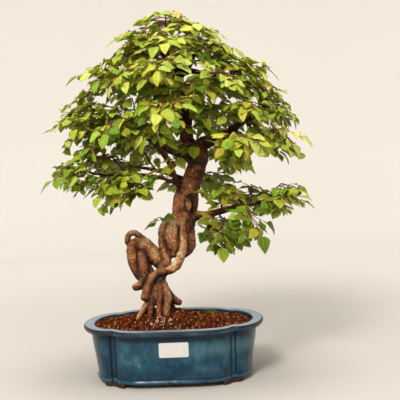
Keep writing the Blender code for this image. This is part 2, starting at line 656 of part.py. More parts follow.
class Blade:
    """A thin closed body: ribs with leaflets on both sides, the same triangles above and below."""

    def __init__(self):
        self.top = []
        self.bottom = []
        self.triangles = []

    def point(self, place, upper, thickness):
        self.top.append(place)
        self.bottom.append(place - upper * thickness)
        return len(self.top) - 1

    def pair(self, frame, half_width, thickness):
        """The two ends of a cut across a rib, right then left."""
        return [self.point(frame.origin + frame.right * half_width * side, frame.upper, thickness)
                for side in (1, -1)]

    def leaf(self, base, frame, length):
        ring = [base[0]]
        ring += [self.point(p, frame.upper, LEAF_THICKNESS) for p in leaf_outline(frame, length)]
        ring.append(base[1])
        self.triangles += [tuple(ring[k] for k in t) for t in LEAF_TRIANGLES]

    def strip(self, right, left):
        """Triangles between a rib's two edges, each a list of (distance, point)."""
        i = j = 0
        while i < len(left) - 1 or j < len(right) - 1:
            on_left = j == len(right) - 1
            if i < len(left) - 1 and not on_left:
                on_left = left[i + 1][0] <= right[j + 1][0]
            ahead = left[i + 1][1] if on_left else right[j + 1][1]
            self.triangles.append((left[i][1], right[j][1], ahead))
            i, j = (i + 1, j) if on_left else (i, j + 1)

    def shoot(self, base, shoot, keep):
        """A shoot's rib from its base, with the leaflets that are kept."""
        right, left = [(0, base[0])], [(0, base[1])]
        for leaf in keep:
            frame = shoot.frame.on_rib(leaf.place, RIB_SAG)
            if not leaf.side:
                ends = self.pair(frame, RIB_HALF_WIDTH, LEAF_THICKNESS)
                right.append((leaf.place, ends[0]))
                left.append((leaf.place, ends[1]))
                self.leaf(ends, leaf.frame, leaf.length)
                continue
            edge = frame.origin - frame.right * leaf.side * RIB_HALF_WIDTH
            ends = [self.point(edge + frame.direction * d, frame.upper, LEAF_THICKNESS)
                    for d in (-LEAF_BASE, LEAF_BASE)]
            chain = left if leaf.side > 0 else right
            chain += [(leaf.place - LEAF_BASE, ends[0]), (leaf.place + LEAF_BASE, ends[1])]
            self.leaf(ends[::-1] if leaf.side > 0 else ends, leaf.frame, leaf.length)
        self.strip(right, left)

    def body(self):
        count = len(self.top)
        faces = list(self.triangles)
        faces += [(c + count, b + count, a + count) for a, b, c in self.triangles]
        edges = {edge for a, b, c in self.triangles for edge in ((a, b), (b, c), (c, a))}
        for a, b in sorted(edges):
            if (b, a) not in edges:
                faces.append((a, a + count, b + count, b))
        return self.top + self.bottom, faces


def leaf_outline(frame, length):
    """A leaflet's edge from its right base round its tip, on a blade that sinks to its tip."""
    half = LEAF_HALF_WIDTH * length / LEAF_LENGTH
    points = []
    for out, across in LEAF_SHAPE:
        drop = LEAF_SAG * (out * length) ** 2
        place = frame.origin + frame.direction * out * length + frame.right * across * half
        points.append(place - frame.upper * drop)
    return points


class Leaf:
    """One leaflet: where it sits on its rib, on which side, and how it lies."""

    def __init__(self, shoot_frame, place, side, draw):
        self.place = place
        self.side = side
        self.length = LEAF_LENGTH * draw.uniform(0.84, 1.14)
        on_rib = shoot_frame.on_rib(place, RIB_SAG)
        turn = side * (LEAF_ANGLE + draw.uniform(-7, 7))
        start = on_rib.origin - on_rib.right * side * RIB_HALF_WIDTH
        self.frame = on_rib.turned(start, turn, draw.uniform(-20, 8), draw.uniform(-22, 22))

    def test_body(self):
        """The leaflet a little thicker and larger, to see what it would touch."""
        blade = Blade()
        start = self.frame.origin + self.frame.upper * TEST_CLEARANCE
        frame = Frame(start, self.frame.direction, self.frame.upper)
        depth = LEAF_THICKNESS + 2 * TEST_CLEARANCE
        base = [blade.point(start + frame.right * s * LEAF_BASE, frame.upper, depth) for s in (1, -1)]
        ring = [base[0]]
        ring += [blade.point(p, frame.upper, depth) for p in leaf_outline(frame, self.length * 1.05)]
        ring.append(base[1])
        blade.triangles = [tuple(ring[k] for k in t) for t in LEAF_TRIANGLES]
        return blade.body()


class Shoot:
    """A rib with leaflets on alternate sides and one at its tip."""

    def __init__(self, place, side, frame, count, draw):
        self.place = place
        self.side = side
        self.frame = frame
        self.leaves = []
        leaf_side = draw.choice((-1, 1))
        along_rib = FIRST_LEAF
        for k in range(count):
            last = k == count - 1
            self.leaves.append(Leaf(frame, along_rib, 0 if last else leaf_side, draw))
            along_rib += LEAF_PITCH * draw.uniform(0.9, 1.1)
            leaf_side = -leaf_side


class Spray:
    """A stem past its seat, with shoots on both sides and one at its end."""

    def __init__(self, name, branch, share, middle, tilt, draw):
        self.name = name
        self.line = stem_line(branch, share, middle)
        self.heading, self.upper = spray_plane(self.line, middle, tilt)
        self.shoots = []
        for place, turn, rise, leaves in SHOOTS:
            turn = (turn + draw.uniform(-7, 7)) * (APEX_TURN if name == "apex" else 1)
            rise += draw.uniform(-6, 6)
            side = (turn > 0) - (turn < 0) if place < 1 else 0
            base = Frame(Vector(), self.heading, self.upper)
            origin = self.stem_frame(place).origin
            frame = base.turned(origin, turn, rise, draw.uniform(-14, 14))
            self.shoots.append(Shoot(place, side, frame, leaves, draw))

    def stem_frame(self, place):
        """The frame at a share of the stem past its seat."""
        origin, direction = along(self.line, SEAT_SHARE + (1 - SEAT_SHARE) * place)
        if not place:
            origin = origin + direction * GAP
        return Frame(origin, direction, self.upper)

    def stem_size(self, place):
        half_width = stem_radius(SEAT_SHARE + (1 - SEAT_SHARE) * place)
        return half_width, LEAF_THICKNESS + (1 - place) * STEM_ROOT_DEPTH

    def body(self, kept):
        """The whole spray, with each shoot that has kept leaflets."""
        blade = Blade()
        base = blade.pair(self.stem_frame(0), *self.stem_size(0))
        right, left = [(0, base[0])], [(0, base[1])]
        for shoot, keep in zip(self.shoots, kept):
            frame = self.stem_frame(shoot.place)
            half_width, thickness = self.stem_size(shoot.place)
            if not shoot.side:
                ends = blade.pair(frame, half_width, thickness)
                right.append((shoot.place, ends[0]))
                left.append((shoot.place, ends[1]))
            elif keep:
                edge = frame.origin - frame.right * shoot.side * half_width
                ends = [blade.point(edge + frame.direction * d, frame.upper, thickness)
                        for d in (-LEAF_BASE, LEAF_BASE)]
                chain = left if shoot.side > 0 else right
                chain.append((shoot.place - SHOOT_BASE_SHARE, ends[0]))
                chain.append((shoot.place + SHOOT_BASE_SHARE, ends[1]))
                if shoot.side > 0:
                    ends.reverse()
            if keep:
                blade.shoot(ends, shoot, keep)
        blade.strip(right, left)
        return blade.body()


def spray_plane(line, middle, tilt):
    """Heading and upper side of a spray: it faces up and away from the crown's axis."""
    away = Vector(middle) - CROWN_AXIS
    away.z = 0
    away.normalize()
    heading = line[-1] - line[0]
    heading.z = 0
    heading = heading.normalized() + away
    lean = math.radians(tilt)
    upper = UP * math.cos(lean) + away * math.sin(lean)
    return heading - upper * heading.dot(upper), upper


def search_tree(bodies):
    """One search tree for a list of (vertices, faces)."""
    verts, faces = [], []
    for more_verts, more_faces in bodies:
        faces += [tuple(i + len(verts) for i in face) for face in more_faces]
        verts += more_verts
    return BVHTree.FromPolygons(verts, faces)


def clear_leaves(spray, kept, around):
    """Keep the leaflets that touch nothing, on ribs that stop before they would cross another."""
    shoot = spray.shoots[len(kept)]
    others = search_tree(around)
    own = search_tree([spray.body(kept + [[]] * (len(spray.shoots) - len(kept)))])
    keep = []
    for leaf in shoot.leaves:
        test = BVHTree.FromPolygons(*leaf.test_body())
        if not test.overlap(others) and not test.overlap(own):
            keep.append(leaf)
    rest = [[]] * (len(spray.shoots) - len(kept) - 1)
    while keep and BVHTree.FromPolygons(*spray.body(kept + [keep] + rest)).overlap(others):
        keep.pop()
    return keep


def make_sprays(wood, finish):
    """One solid for each spray; a leaflet that would touch another is left out."""
    draw = random.Random(5)
    sprays = [Spray(*row, draw) for row in SPRAYS]
    bare = {spray.name: spray.body([[]] * len(spray.shoots)) for spray in sprays}
    placed = list(wood)
    for spray in sprays:
        around = placed + [body for name, body in bare.items() if name != spray.name]
        kept = []
        for _ in spray.shoots:
            kept.append(clear_leaves(spray, kept, around))
        body = spray.body(kept)
        placed.append(body)
        finished(solid("spray_" + spray.name, *body), finish, sharp=60)


def centre_all(root):
    """Parent everything to one empty and stand the bounding box's middle on the origin."""
    things = [thing for thing in bpy.data.objects if thing.type == "MESH"]
    corners = [thing.matrix_world @ vert.co for thing in things for vert in thing.data.vertices]
    middle = [(min(c[k] for c in corners) + max(c[k] for c in corners)) / 2 for k in (0, 1)]
    root.location = (-middle[0], -middle[1], 0)
    for thing in things:
        thing.parent = root
    bpy.context.view_layer.update()


BRANCH_LINES = {name: smooth_route(route, 2)[0] for name, route in BRANCH_ROUTES.items()}


def main():
    clear_scene()
    glaze = material("glaze", (0.05, 0.16, 0.22), 0.25)
    grains = material("grains", (0.24, 0.08, 0.04), 0.9)
    bark = material("bark", (0.28, 0.15, 0.08), 0.75)
    foliage = material("foliage", (0.22, 0.42, 0.05), 0.5)
    paper = material("paper", (0.85, 0.84, 0.8), 0.6)
    plastic = material("plastic", (0.02, 0.02, 0.02), 0.5)
    make_pot(glaze)
    make_screen("screen_left", -DRAIN_X, plastic)
    make_screen("screen_right", DRAIN_X, plastic)
    make_label(paper)
    tree = make_core()
    wood = make_branches(tree)
    finished(tree, bark)
    make_soil(tree, grains)
    make_sprays(wood, foliage)
    root = bpy.data.objects.new("bonsai", None)
    bpy.context.scene.collection.objects.link(root)
    centre_all(root)


main()
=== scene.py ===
"""The looks of the hornbeam bonsai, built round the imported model.

Lengths are in millimetres, counted from the middle of the pot's foot, and become metres once a mesh is
made. X runs to the right, Y away from the viewer and Z up.
"""

import json
import math
import random
from itertools import product

import bmesh
import bpy
import numpy as np
from mathutils import Matrix, Quaternion, Vector, kdtree, noise
from mathutils.bvhtree import BVHTree

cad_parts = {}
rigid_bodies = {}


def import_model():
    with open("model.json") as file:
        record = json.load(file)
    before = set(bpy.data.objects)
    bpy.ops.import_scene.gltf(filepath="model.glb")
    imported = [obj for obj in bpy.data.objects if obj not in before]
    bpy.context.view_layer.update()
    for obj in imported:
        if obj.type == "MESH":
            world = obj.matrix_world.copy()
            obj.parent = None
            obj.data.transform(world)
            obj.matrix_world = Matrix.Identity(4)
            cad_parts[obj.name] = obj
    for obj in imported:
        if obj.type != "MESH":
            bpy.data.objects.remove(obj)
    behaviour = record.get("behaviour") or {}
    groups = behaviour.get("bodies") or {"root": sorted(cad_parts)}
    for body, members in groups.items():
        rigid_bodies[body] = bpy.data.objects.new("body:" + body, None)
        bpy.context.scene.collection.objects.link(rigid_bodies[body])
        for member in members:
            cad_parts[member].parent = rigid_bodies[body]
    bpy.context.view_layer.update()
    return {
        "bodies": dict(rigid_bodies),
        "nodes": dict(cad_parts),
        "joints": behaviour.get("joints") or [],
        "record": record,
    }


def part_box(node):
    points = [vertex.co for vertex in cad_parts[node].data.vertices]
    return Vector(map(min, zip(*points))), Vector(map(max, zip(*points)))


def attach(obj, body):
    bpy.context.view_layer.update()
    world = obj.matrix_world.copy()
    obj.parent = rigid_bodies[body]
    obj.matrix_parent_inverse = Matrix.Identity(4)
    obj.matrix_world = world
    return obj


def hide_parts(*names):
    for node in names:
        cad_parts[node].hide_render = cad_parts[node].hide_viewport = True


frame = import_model()

MM = 0.001
UP = Vector((0, 0, 1))
POT_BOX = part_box("pot")
SHIFT = Vector(((POT_BOX[0].x + POT_BOX[1].x) / 2, (POT_BOX[0].y + POT_BOX[1].y) / 2, 0))

# Camera and stage
CAMERA_PLACE = Vector((46, -965, 287))
CAMERA_DIP = 1.41
CAMERA_ROLL = -2.05
VIEW_TURN = Matrix.Rotation(math.radians(90 - CAMERA_DIP), 3, "X")
VIEW_TURN = VIEW_TURN @ Matrix.Rotation(math.radians(CAMERA_ROLL), 3, "Z")
LENS = 57.6
SENSOR_WIDTH = 36
BACKDROP_RADIUS = 1700
BACKDROP_CURVE = 800
BACKDROP_HEIGHT = 3600
BACKDROP_SIDES = 96
CURVE_STEPS = 16
ROOM_COLOUR = (1.0, 0.965, 0.92, 1)
ROOM_LIGHT = 0.52

# Seeds of the random draws
SPRAY_SEED = 5
EXTRA_SEED = 17
TWIG_SEED = 23
GRAIN_SEED = 41
MOSS_SEED = 3

# Pot
POT_LENGTH = 270
POT_DEPTH = 178
CREASE_X = 86
CREASE_Y = 70
FRONT_POWER = 5
LOBE_POWER = 1.95
FRONT_STEPS = 18
CREASE_STEPS = 12
CREASE_STEP = 0.6
LOBE_STEPS = 15
WALL_GROOVE = (2.0, 1.3)
LIP_GROOVE = (0.8, 2.6)
GROOVE_SPACING = 3.1
HOLLOW_DEPTH = 1.3
HOLLOW_WIDTH = 8
POOLED_DEPTH = 1.6
# Painted shade on the lobes, deeper on the left one
LOBE_SHADE_LEFT, LOBE_SHADE_RIGHT = 0.32, 0.1
LIP_LOW = 76
LIP_INSET = 9.5
MOULDING_TOP = 12.8
GLAZE_LOW = 6.9
SOIL_LINE = 83
RIM_LOW = 84
RIM_EDGE, RIM_INNER = 2, 15
# Painted shade inside the pot, below the soil line
INNER_SHADE = 0.95
OUTSIDE_SHARE = 0.7
SWAY = 0.5
SWAY_SPACING = 23
SWAY_INSET = 20
SWAY_RISE = 0.3

# Bands of the glaze: height, half width, and the share or the inset that they reach.
# The shade bands are painted shade under the lip, above the moulding and low on the wall; the thin bands
# are the brown rim edge where the glaze runs thin, and the lip's lower edge, thin glaze with painted
# shade;
# the pale band is painted light across the belly.
# Painted shade bands: under the lip, in the recess above the moulding, and low on the wall
PAINTED_SHADE_BANDS = ((72.5, 4.6, 1), (12.6, 2.2, 1), (20, 6, 0.42))
# Thin glaze: the brown rim edge, and the lip's lower edge, thin glaze darkened as painted shade under the
# lip
THIN_GLAZE_AND_SHADE_BANDS = ((83.6, 1.7, 3), (77.5, 1.2, 6))
# Painted light across the belly: its band, and how much stronger it grows to the right
PAINTED_LIGHT_BAND = (55, 9)
PAINTED_LIGHT_MIDDLE = 0.22
PAINTED_LIGHT_SLOPE = 0.4
PAINTED_LIGHT_LEAST, PAINTED_LIGHT_MOST = 0.06, 0.45
MOULDING_BAND = (9, 2.2)

# The pot's profile: inset from the widest outline, and height
POT_PROFILE = [
    (30, 6.4), (21.4, 6.1), (19, 6.4), (17.9, 7.8), (17.9, 9.6), (19, 11.2), (19.7, 13), (19.2, 16.5),
    (18, 24), (16.2, 36), (14, 50), (12, 63), (10.8, 72.5), (9.9, 75.6), (7.4, 76.8), (3.2, 77.2),
    (1.1, 78.6), (0.3, 80.3), (0.2, 82.5), (0.9, 84.2), (2.4, 84.95), (6, 84.7), (11.5, 84.8),
    (14.4, 84.8), (15.7, 84.1), (16.4, 82.4), (17.3, 75), (19.1, 58), (21.1, 38), (22.6, 21),
    (24.2, 16.2), (30, 15),
]
DRAIN_X = 62
DRAIN_RADIUS = 11
DRAIN_HIGH = 40
DRAIN_SIDES = 40
FOOT_OUTER_INSET = 19
FOOT_INNER_INSET = 33
FOOT_FIRST = 68
FOOT_LAST = 101
FOOT_INNER_LAST = 94
FOOT_STEPS = ((0, 0.90), (0.5, 0.935), (2, 0.965), (4.4, 1.0), (7.5, 1.01))
FOOT_ROUGHNESS = 0.35

# Sticker
LABEL_LEFT, LABEL_RIGHT = -19, 22.5
LABEL_LOW, LABEL_HIGH = 46, 67.5
LABEL_CORNER = 1.9
LABEL_COLUMNS = 12
LABEL_BACK = 0.27
LABEL_FACE = 0.51
PAPER_COLOURS = ((0.560, 0.550, 0.525), (0.610, 0.600, 0.575))
PLASTIC_COLOURS = ((0.012, 0.012, 0.012), (0.03, 0.03, 0.03))

# Wood: each route is a list of (x, y, z, radius)
CORE_ROUTES = {
    "trunk": [(22, -2, 226, 15), (21, 0, 240, 17.5), (23, 2, 258, 18.5), (27, 4, 276, 17),
        (35, 5, 294, 15), (42, 4, 312, 14.5), (46, 2, 330, 15.5), (48, 1, 341, 13)],
    "root_light": [(26, -2, 252, 8), (23, -10, 240, 8), (20, -15, 226, 6.6), (20, -16, 205, 6),
        (18, -16, 191, 6), (14, -17, 179, 6.5), (9, -18, 170, 7), (1, -18, 163, 7), (-10, -18, 160, 7)],
    "root_low": [(-8, -18, 160, 7), (-20, -20, 157, 7), (-31, -22, 148, 7.2), (-36, -23, 136, 7.8),
        (-38, -23, 124, 8.3)],
    "knob_left": [(0, -3, 234, 10), (-8, -6, 222, 9.5), (-10, -7, 207, 9), (-10, -9, 191, 8.2),
        (-8, -12, 177, 8), (-8, -14, 165, 8)],
    "knob_middle": [(6, -3, 232, 12), (2, -6, 219, 14), (1, -6, 206, 14), (2, -7, 194, 11.5),
        (2, -8, 185, 7.5)],
    "bulge_right": [(27, -2, 238, 13), (25, -3, 219, 11.5), (27, -2, 202, 11.3), (25, -2, 190, 9),
        (17, -5, 180, 5)],
    "root_sleeve": [(22, -5, 242, 13), (21, -8, 230, 11.5), (21, -9, 218, 9.5), (20, -8, 207, 7)],
    "ridge": [(-12, -10, 165, 9.5), (-18, -8, 175, 11), (-30, -7, 187, 12.4), (-41, -7, 198, 12.8),
        (-48, -8, 201, 10.4)],
    "web": [(-40, 3, 194, 9.5), (-35, 3, 182, 10), (-27, 0, 176, 8.5), (-18, -5, 169, 8)],
    "finger_left": [(-48, -8, 204, 7.5), (-56, -12, 200, 8.5), (-58, -14, 188, 8.2), (-57, -17, 174, 7),
        (-54, -17, 163, 6), (-50, -16, 153, 5)],
    "finger_right": [(-34, -6, 197, 8), (-41, -12, 188, 8), (-43, -15, 174, 8.4), (-42, -18, 161, 8.2),
        (-41, -19, 149, 7.5), (-46, -19, 141, 6.8), (-54, -18, 138, 5.8)],
    "web_low": [(-40, -6, 182, 6), (-38, -8, 172, 5.5), (-33, -10, 162, 5.6), (-27, -13, 151, 6.5)],
    "arch": [(-59, -10, 197, 5), (-64, -10, 206, 4.6), (-62, -10, 215, 4.5), (-55, -9, 218, 4.5),
        (-48, -8, 214, 4.6), (-41, -7, 208, 5)],
    "neck": [(-12, -13, 164, 10), (-18, -15, 150, 9.5), (-18, -16, 137, 10)],
    "base_left": [(-22, -20, 136, 7), (-25, -26, 122, 5), (-32, -25, 114, 4.8), (-41, -25, 106, 4.8),
        (-47, -25, 98, 4.6), (-55, -25, 86, 4.2)],
    "base_red": [(-26, -22, 130, 5.4), (-29, -28, 116, 5), (-32, -33, 102, 4.6), (-33, -36, 84, 4)],
    "base_middle": [(-18, -22, 138, 6), (-17, -28, 127, 4.6), (-19, -31, 115, 4.2), (-20, -34, 101, 4),
        (-20, -36, 84, 3.8)],
    "base_right": [(-15, -17, 143, 7), (-11, -21, 134, 7.2), (-8, -23, 125, 7.2), (-8, -25, 113, 6.8),
        (-10, -27, 101, 6.4), (-11, -28, 84, 6)],
    "base_core": [(-16, -14, 138, 8), (-17, -14, 118, 7.5), (-17, -14, 100, 8), (-17, -14, 84, 9)],
    "stub_right": [(-13, -13, 138, 6.5), (-5, -12, 124, 6), (3, -11, 115, 6), (9, -11, 112, 5)],
    "base_back": [(-17, -8, 140, 8), (-13, 6, 123, 7), (-7, 20, 107, 6), (0, 32, 88, 5.4)],
    "base_far_left": [(-21, -9, 134, 7.5), (-33, 3, 116, 6), (-45, 12, 100, 5.2), (-55, 18, 84, 4.4)],
}
BRANCH_ROUTES = {
    "low_right": [(34, 0, 238, 7), (56, -6, 241, 5.6), (77, -12, 246, 5), (102, -18, 253, 4.2),
        (124, -22, 256, 3.2), (142, -26, 259, 2.4)],
    "up_right": [(44, 2, 336, 13), (54, 3, 348, 11), (67, 6, 353, 9), (82, 8, 356, 8),
        (98, 10, 367, 6.6), (115, 13, 380, 5), (134, 18, 388, 3)],
    "right_mid": [(96, 10, 365, 4.6), (112, 1, 354, 3.8), (128, -8, 354, 3), (140, -14, 357, 2.2)],
    "leader": [(39, 2, 326, 12), (31, 2, 346, 11.5), (29, 2, 369, 10.2), (28, 0, 392, 9),
        (25, 0, 417, 7.6), (22, 0, 443, 6.4), (24, 0, 457, 5.4)],
    "top_left": [(23, 0, 455, 4.6), (9, -3, 470, 3.8), (-5, -6, 486, 2.8), (-15, -8, 499, 2.2)],
    "top_right": [(24, 0, 455, 4.4), (38, -1, 466, 3.8), (45, -2, 484, 3), (45, -4, 504, 2.2)],
    "apex": [(10, -3, 469, 3.2), (5, -1, 494, 2.6), (4, 0, 518, 2.2)],
    "high_left": [(22, 0, 446, 4.6), (8, -2, 455, 4), (-14, -6, 459, 3.4), (-38, -10, 458, 2.8),
        (-58, -12, 456, 2.2)],
    "high_right": [(23, 0, 452, 4.6), (40, -2, 457, 4.2), (63, -6, 450, 3.8), (84, -9, 450, 3),
        (101, -11, 448, 2.3)],
    "left_front": [(20, 0, 272, 5), (11, -4, 296, 4.2), (2, -6, 320, 3.9), (-11, -8, 340, 3.7),
        (-24, -10, 354, 3.4), (-46, -12, 364, 3.1), (-74, -14, 373, 2.7), (-100, -18, 378, 2.2)],
    "left_back": [(34, 6, 324, 6), (14, 8, 334, 4.8), (-3, 10, 343, 4.5), (-21, 12, 355, 4.2),
        (-44, 14, 364, 3.8), (-72, 20, 377, 3.1), (-104, 26, 389, 2.3)],
    "left_low": [(22, 0, 284, 4.5), (6, -5, 292, 3.1), (-12, -9, 299, 2.9), (-36, -14, 304, 2.7),
        (-66, -19, 305, 2.5), (-90, -23, 306, 2.3), (-108, -26, 308, 2.1)],
    "back_low": [(32, 10, 284, 5.6), (33, 36, 291, 4.2), (30, 62, 293, 3.3), (24, 84, 291, 2.3)],
    "back_mid": [(38, 12, 320, 7), (29, 40, 336, 4.8), (8, 66, 346, 3.6), (-10, 84, 349, 2.3)],
    "back_right": [(80, 8, 355, 6), (93, 32, 359, 4.2), (103, 52, 361, 3.2), (110, 68, 360, 2.3)],
    "back_high": [(27, 0, 398, 5.4), (22, 26, 412, 4), (16, 50, 418, 3.2), (12, 72, 419, 2.3)],
    "back_left": [(30, 8, 292, 5), (2, 22, 304, 3.4), (-32, 44, 314, 2.9), (-56, 56, 318, 2.2)],
    "front_mid": [(28, 0, 378, 5), (21, -24, 390, 3.6), (14, -46, 393, 2.9), (9, -66, 392, 2.2)],
    "front_right": [(84, 8, 357, 5), (92, -18, 352, 3.6), (97, -42, 349, 2.9), (99, -62, 346, 2.2)],
    "front_high": [(23, 0, 430, 4.8), (15, -24, 442, 3.4), (8, -46, 446, 2.7), (4, -64, 446, 2.1)],
}
KNOB_STEPS = ((0.45, 0.9), (0.75, 0.65), (0.95, 0.3))
WOOD_SIDES = 18
WOOD_VOXEL = 1.2
THICK_RADIUS = 9

# Relief of the bark
FIBRE_STRETCH = 0.8
FIBRE_WIDTH = 2.6
FIBRE_SHIFT = Vector((7, 0, 0))
FINE_FIBRE_WIDTH = 1.4
FINE_FIBRE_SHARE = 0.5
FIBRE_RISE = 0.3
FLUTE_WIDTH = 7.5
LUMP_WIDTH = 9
SMALL_LUMP_WIDTH = 4.2
SMALL_LUMP_SHARE = 0.35
SEAM_WIDTH = 1.3
SEAM_DEPTH = 1.7
SEAM_FADE = 6
SEAM_THICKNESS = 1.3
BRANCH_SEAM = 0.4
STRAND_BLEND = 1.3
# Reach of the painted shade beside other strands
NEIGHBOUR_REACH = 4.5
# Rounds for finding sunk places, which take painted shade
SOFTENING_ROUNDS = 9
BLURRING_ROUNDS = 3
SUNK_LEAST = 0.12
SUNK_RANGE = 0.7
# Height where the crown's painted shade on the wood begins, and over how far it deepens
CROWN_LOW = 350
CROWN_DUSK = 60

# Shares of painted light and shade on the bark: lighter on top, on the flutes' ridges and the knob's top,
# darker underneath, under the crown, beside other strands, in the creases and in the seams
BARK_LIGHT = -0.06
TOP_LIGHT = 0.46
UNDER_SHADE = 0.14
FLUTE_LIGHT = 0.12
CROWN_SHADE = 0.10
NEIGHBOUR_SHADE = 0.27
KNOB_LIGHT = 0.26
CREASE_SHADE = 0.9
SEAM_SHADE = 0.65

# How light and how red the bark of each strand is: its own tone, darkened as painted shade on the web,
# the low web and the leader, which lie in shade
PLAIN_BARK = (0.44, 0.35)
BRANCH_BARK = (0.24, 0.45)
STRAND_BARK = {
    "root_light": (0.74, 0.1), "root_low": (0.44, 0.35), "knob_left": (0.54, 0.3),
    "knob_middle": (0.62, 0.2), "bulge_right": (0.66, 0.5), "root_sleeve": (0.68, 0.3),
    "ridge": (0.64, 0.15), "web": (0.3, 0.2), "web_low": (0.14, 0.3), "arch": (0.6, 0.05),
    "finger_left": (0.48, 0.4), "finger_right": (0.4, 0.4),
    "neck": (0.28, 0.3), "base_left": (0.54, 0.1), "base_red": (0.26, 1.0), "base_middle": (0.42, 0.8),
    "base_right": (0.52, 0.15), "stub_right": (0.24, 0.1), "leader": (0.2, 0.7),
}
SCAR_PLACE = Vector((34, -13, 258))
SCAR_SIZE = (13, 17)
SCAR_DEPTH = 6.5
SCAR_POWER = 0.6
SCAR_SHADE = 1.6
CALLUS_RISE = 2.2
CALLUS_BAND = (1.2, 0.24)
PLUG_PLACE = Vector((31, -15, 256))
PLUG_SIZE = (7, 12.5)
PLUG_RISE = 0.75
PLUG_LIGHT = 0.2
# The knob's top, which takes painted light
KNOB_TOP = Vector((-2, -10, 234))
KNOB_REACH = 26
BURL_PLACE = Vector((41, -15, 320))
BURL_RADIUS = 8
BURL_RISE = 4.2
BURL_FALL = 1.4

# Leafy sprays: name, branch, place along the branch, middle of the spray, tilt of its plane in degrees
SPRAYS = [
    ("apex", "apex", 1.0, (5, 0, 541), 0),
    ("top_left", "top_left", 1.0, (-30, -11, 514), 16),
    ("top_left_side", "top_left", 0.4, (-60, 4, 487), 18),
    ("top_right", "top_right", 1.0, (44, -7, 524), 12),
    ("top_side", "top_right", 0.55, (66, -6, 497), 18),
    ("top_back", "apex", 0.5, (16, 42, 512), 20),
    ("top_front", "top_left", 0.4, (8, -42, 504), 26),
    ("high_left", "high_left", 1.0, (-90, -14, 461), 14),
    ("high_left_front", "high_left", 0.55, (-50, -54, 452), 28),
    ("high_left_back", "high_left", 0.6, (-56, 42, 454), 22),
    ("high_right", "high_right", 1.0, (118, -13, 462), 14),
    ("high_right_front", "high_right", 0.55, (88, -54, 440), 28),
    ("high_right_back", "high_right", 0.6, (94, 42, 442), 22),
    ("shoulder_left", "high_left", 0.75, (-110, 8, 428), 20),
    ("shoulder_right", "high_right", 0.8, (146, 8, 428), 20),
    ("left_front", "left_front", 1.0, (-128, -24, 388), 18),
    ("left_front_side", "left_front", 0.72, (-66, -58, 385), 32),
    ("left_front_near", "left_front", 0.5, (-22, -56, 375), 38),
    ("left_back", "left_back", 1.0, (-134, 32, 404), 16),
    ("left_back_side", "left_back", 0.7, (-72, 68, 397), 26),
    ("left_low", "left_low", 1.0, (-130, -32, 316), 20),
    ("left_low_side", "left_low", 0.7, (-78, -60, 292), 36),
    ("left_mid", "left_low", 0.62, (-90, 6, 338), 18),
    ("up_right", "up_right", 1.0, (158, 24, 406), 16),
    ("up_right_top", "up_right", 0.78, (112, 50, 411), 22),
    ("right_mid", "right_mid", 1.0, (160, -27, 365), 22),
    ("right_inner", "right_mid", 0.25, (88, -16, 328), 34),
    ("up_right_side", "up_right", 0.7, (112, -50, 404), 26),
    ("low_right", "low_right", 1.0, (160, -33, 272), 24),
    ("low_right_side", "low_right", 0.62, (116, -58, 240), 44),
    ("low_right_back", "low_right", 0.66, (112, 24, 271), 30),
    ("low_right_near", "low_right", 0.35, (75, -44, 224), 46),
    ("back_low", "back_low", 1.0, (18, 112, 297), 28),
    ("back_low_side", "back_low", 0.6, (66, 84, 307), 32),
    ("back_mid", "back_mid", 1.0, (-26, 112, 359), 24),
    ("back_right", "back_right", 1.0, (120, 98, 369), 24),
    ("back_high", "back_high", 1.0, (8, 101, 431), 20),
    ("back_left", "back_left", 1.0, (-82, 76, 329), 26),
    ("front_mid", "front_mid", 1.0, (4, -96, 401), 30),
    ("front_right", "front_right", 1.0, (102, -92, 353), 34),
    ("front_high", "front_high", 1.0, (0, -92, 457), 26),
]
CROWN_AXIS = Vector((22, 6, 0))
CROWN_MIDDLE = Vector((20, 2, 370))
CROWN_REACH = Vector((190, 145, 175))
SEAT_SHARE = 0.4
STEM_RADIUS = 1.7
STEM_TIP_RADIUS = 0.8
STEM_STEPS = 6
STEM_LIFT = 0.07
STEM_SWEEP = 0.1
STEM_SLIMNESS = 0.95
STEM_KINK, RIB_KINK = 0.9, 0.45
STEM_SIDES, RIB_SIDES, BUD_SIDES = 7, 5, 4
STEM_YOUTH, RIB_YOUTH = 0.15, 0.6
RIB_RADIUS = 0.8
RIB_TAPER = 0.09
BUD_LIFT = 0.6
BUD_LENGTHS = (2.0, 5.0)
BUD_START, BUD_TIP = 0.5, 0.15
BUD_RADII = (0.9, 2.0)

# Shoots: place along the stem, turn from the stem's heading and rise, in degrees, leaves
SHOOTS = [(0.42, -62, 9, 3), (0.72, 60, 5, 3), (1.0, 0, 2, 4)]
EXTRA_SHOOTS = [
    (-0.3, 48, 8, 4), (-0.05, -50, -4, 4), (0.12, 62, 16, 4), (0.28, -38, 18, 4), (0.42, 40, -6, 4),
    (0.52, -82, -6, 4), (0.62, 84, 14, 3), (0.7, -30, 22, 4), (0.8, 28, -8, 4), (0.88, -66, 6, 3),
    (0.95, 44, 10, 3), (1.0, -24, -8, 4),
]

# How far a shoot strays from its place, turn, rise and roll
SHOOT_TURN, SHOOT_RISE, SHOOT_ROLL = 7, 6, 14
EXTRA_TURN, EXTRA_RISE, EXTRA_ROLL = 16, 9, 20
EXTRA_SHIFT = (-0.06, 0.05)

# How leaves lie: range of rise, roll in degrees, and range of size
LEAF_HABIT = ((-20, 8), 22, (0.84, 1.14))
YOUNG_HABIT = ((-26, 10), 24, (0.58, 1.0))

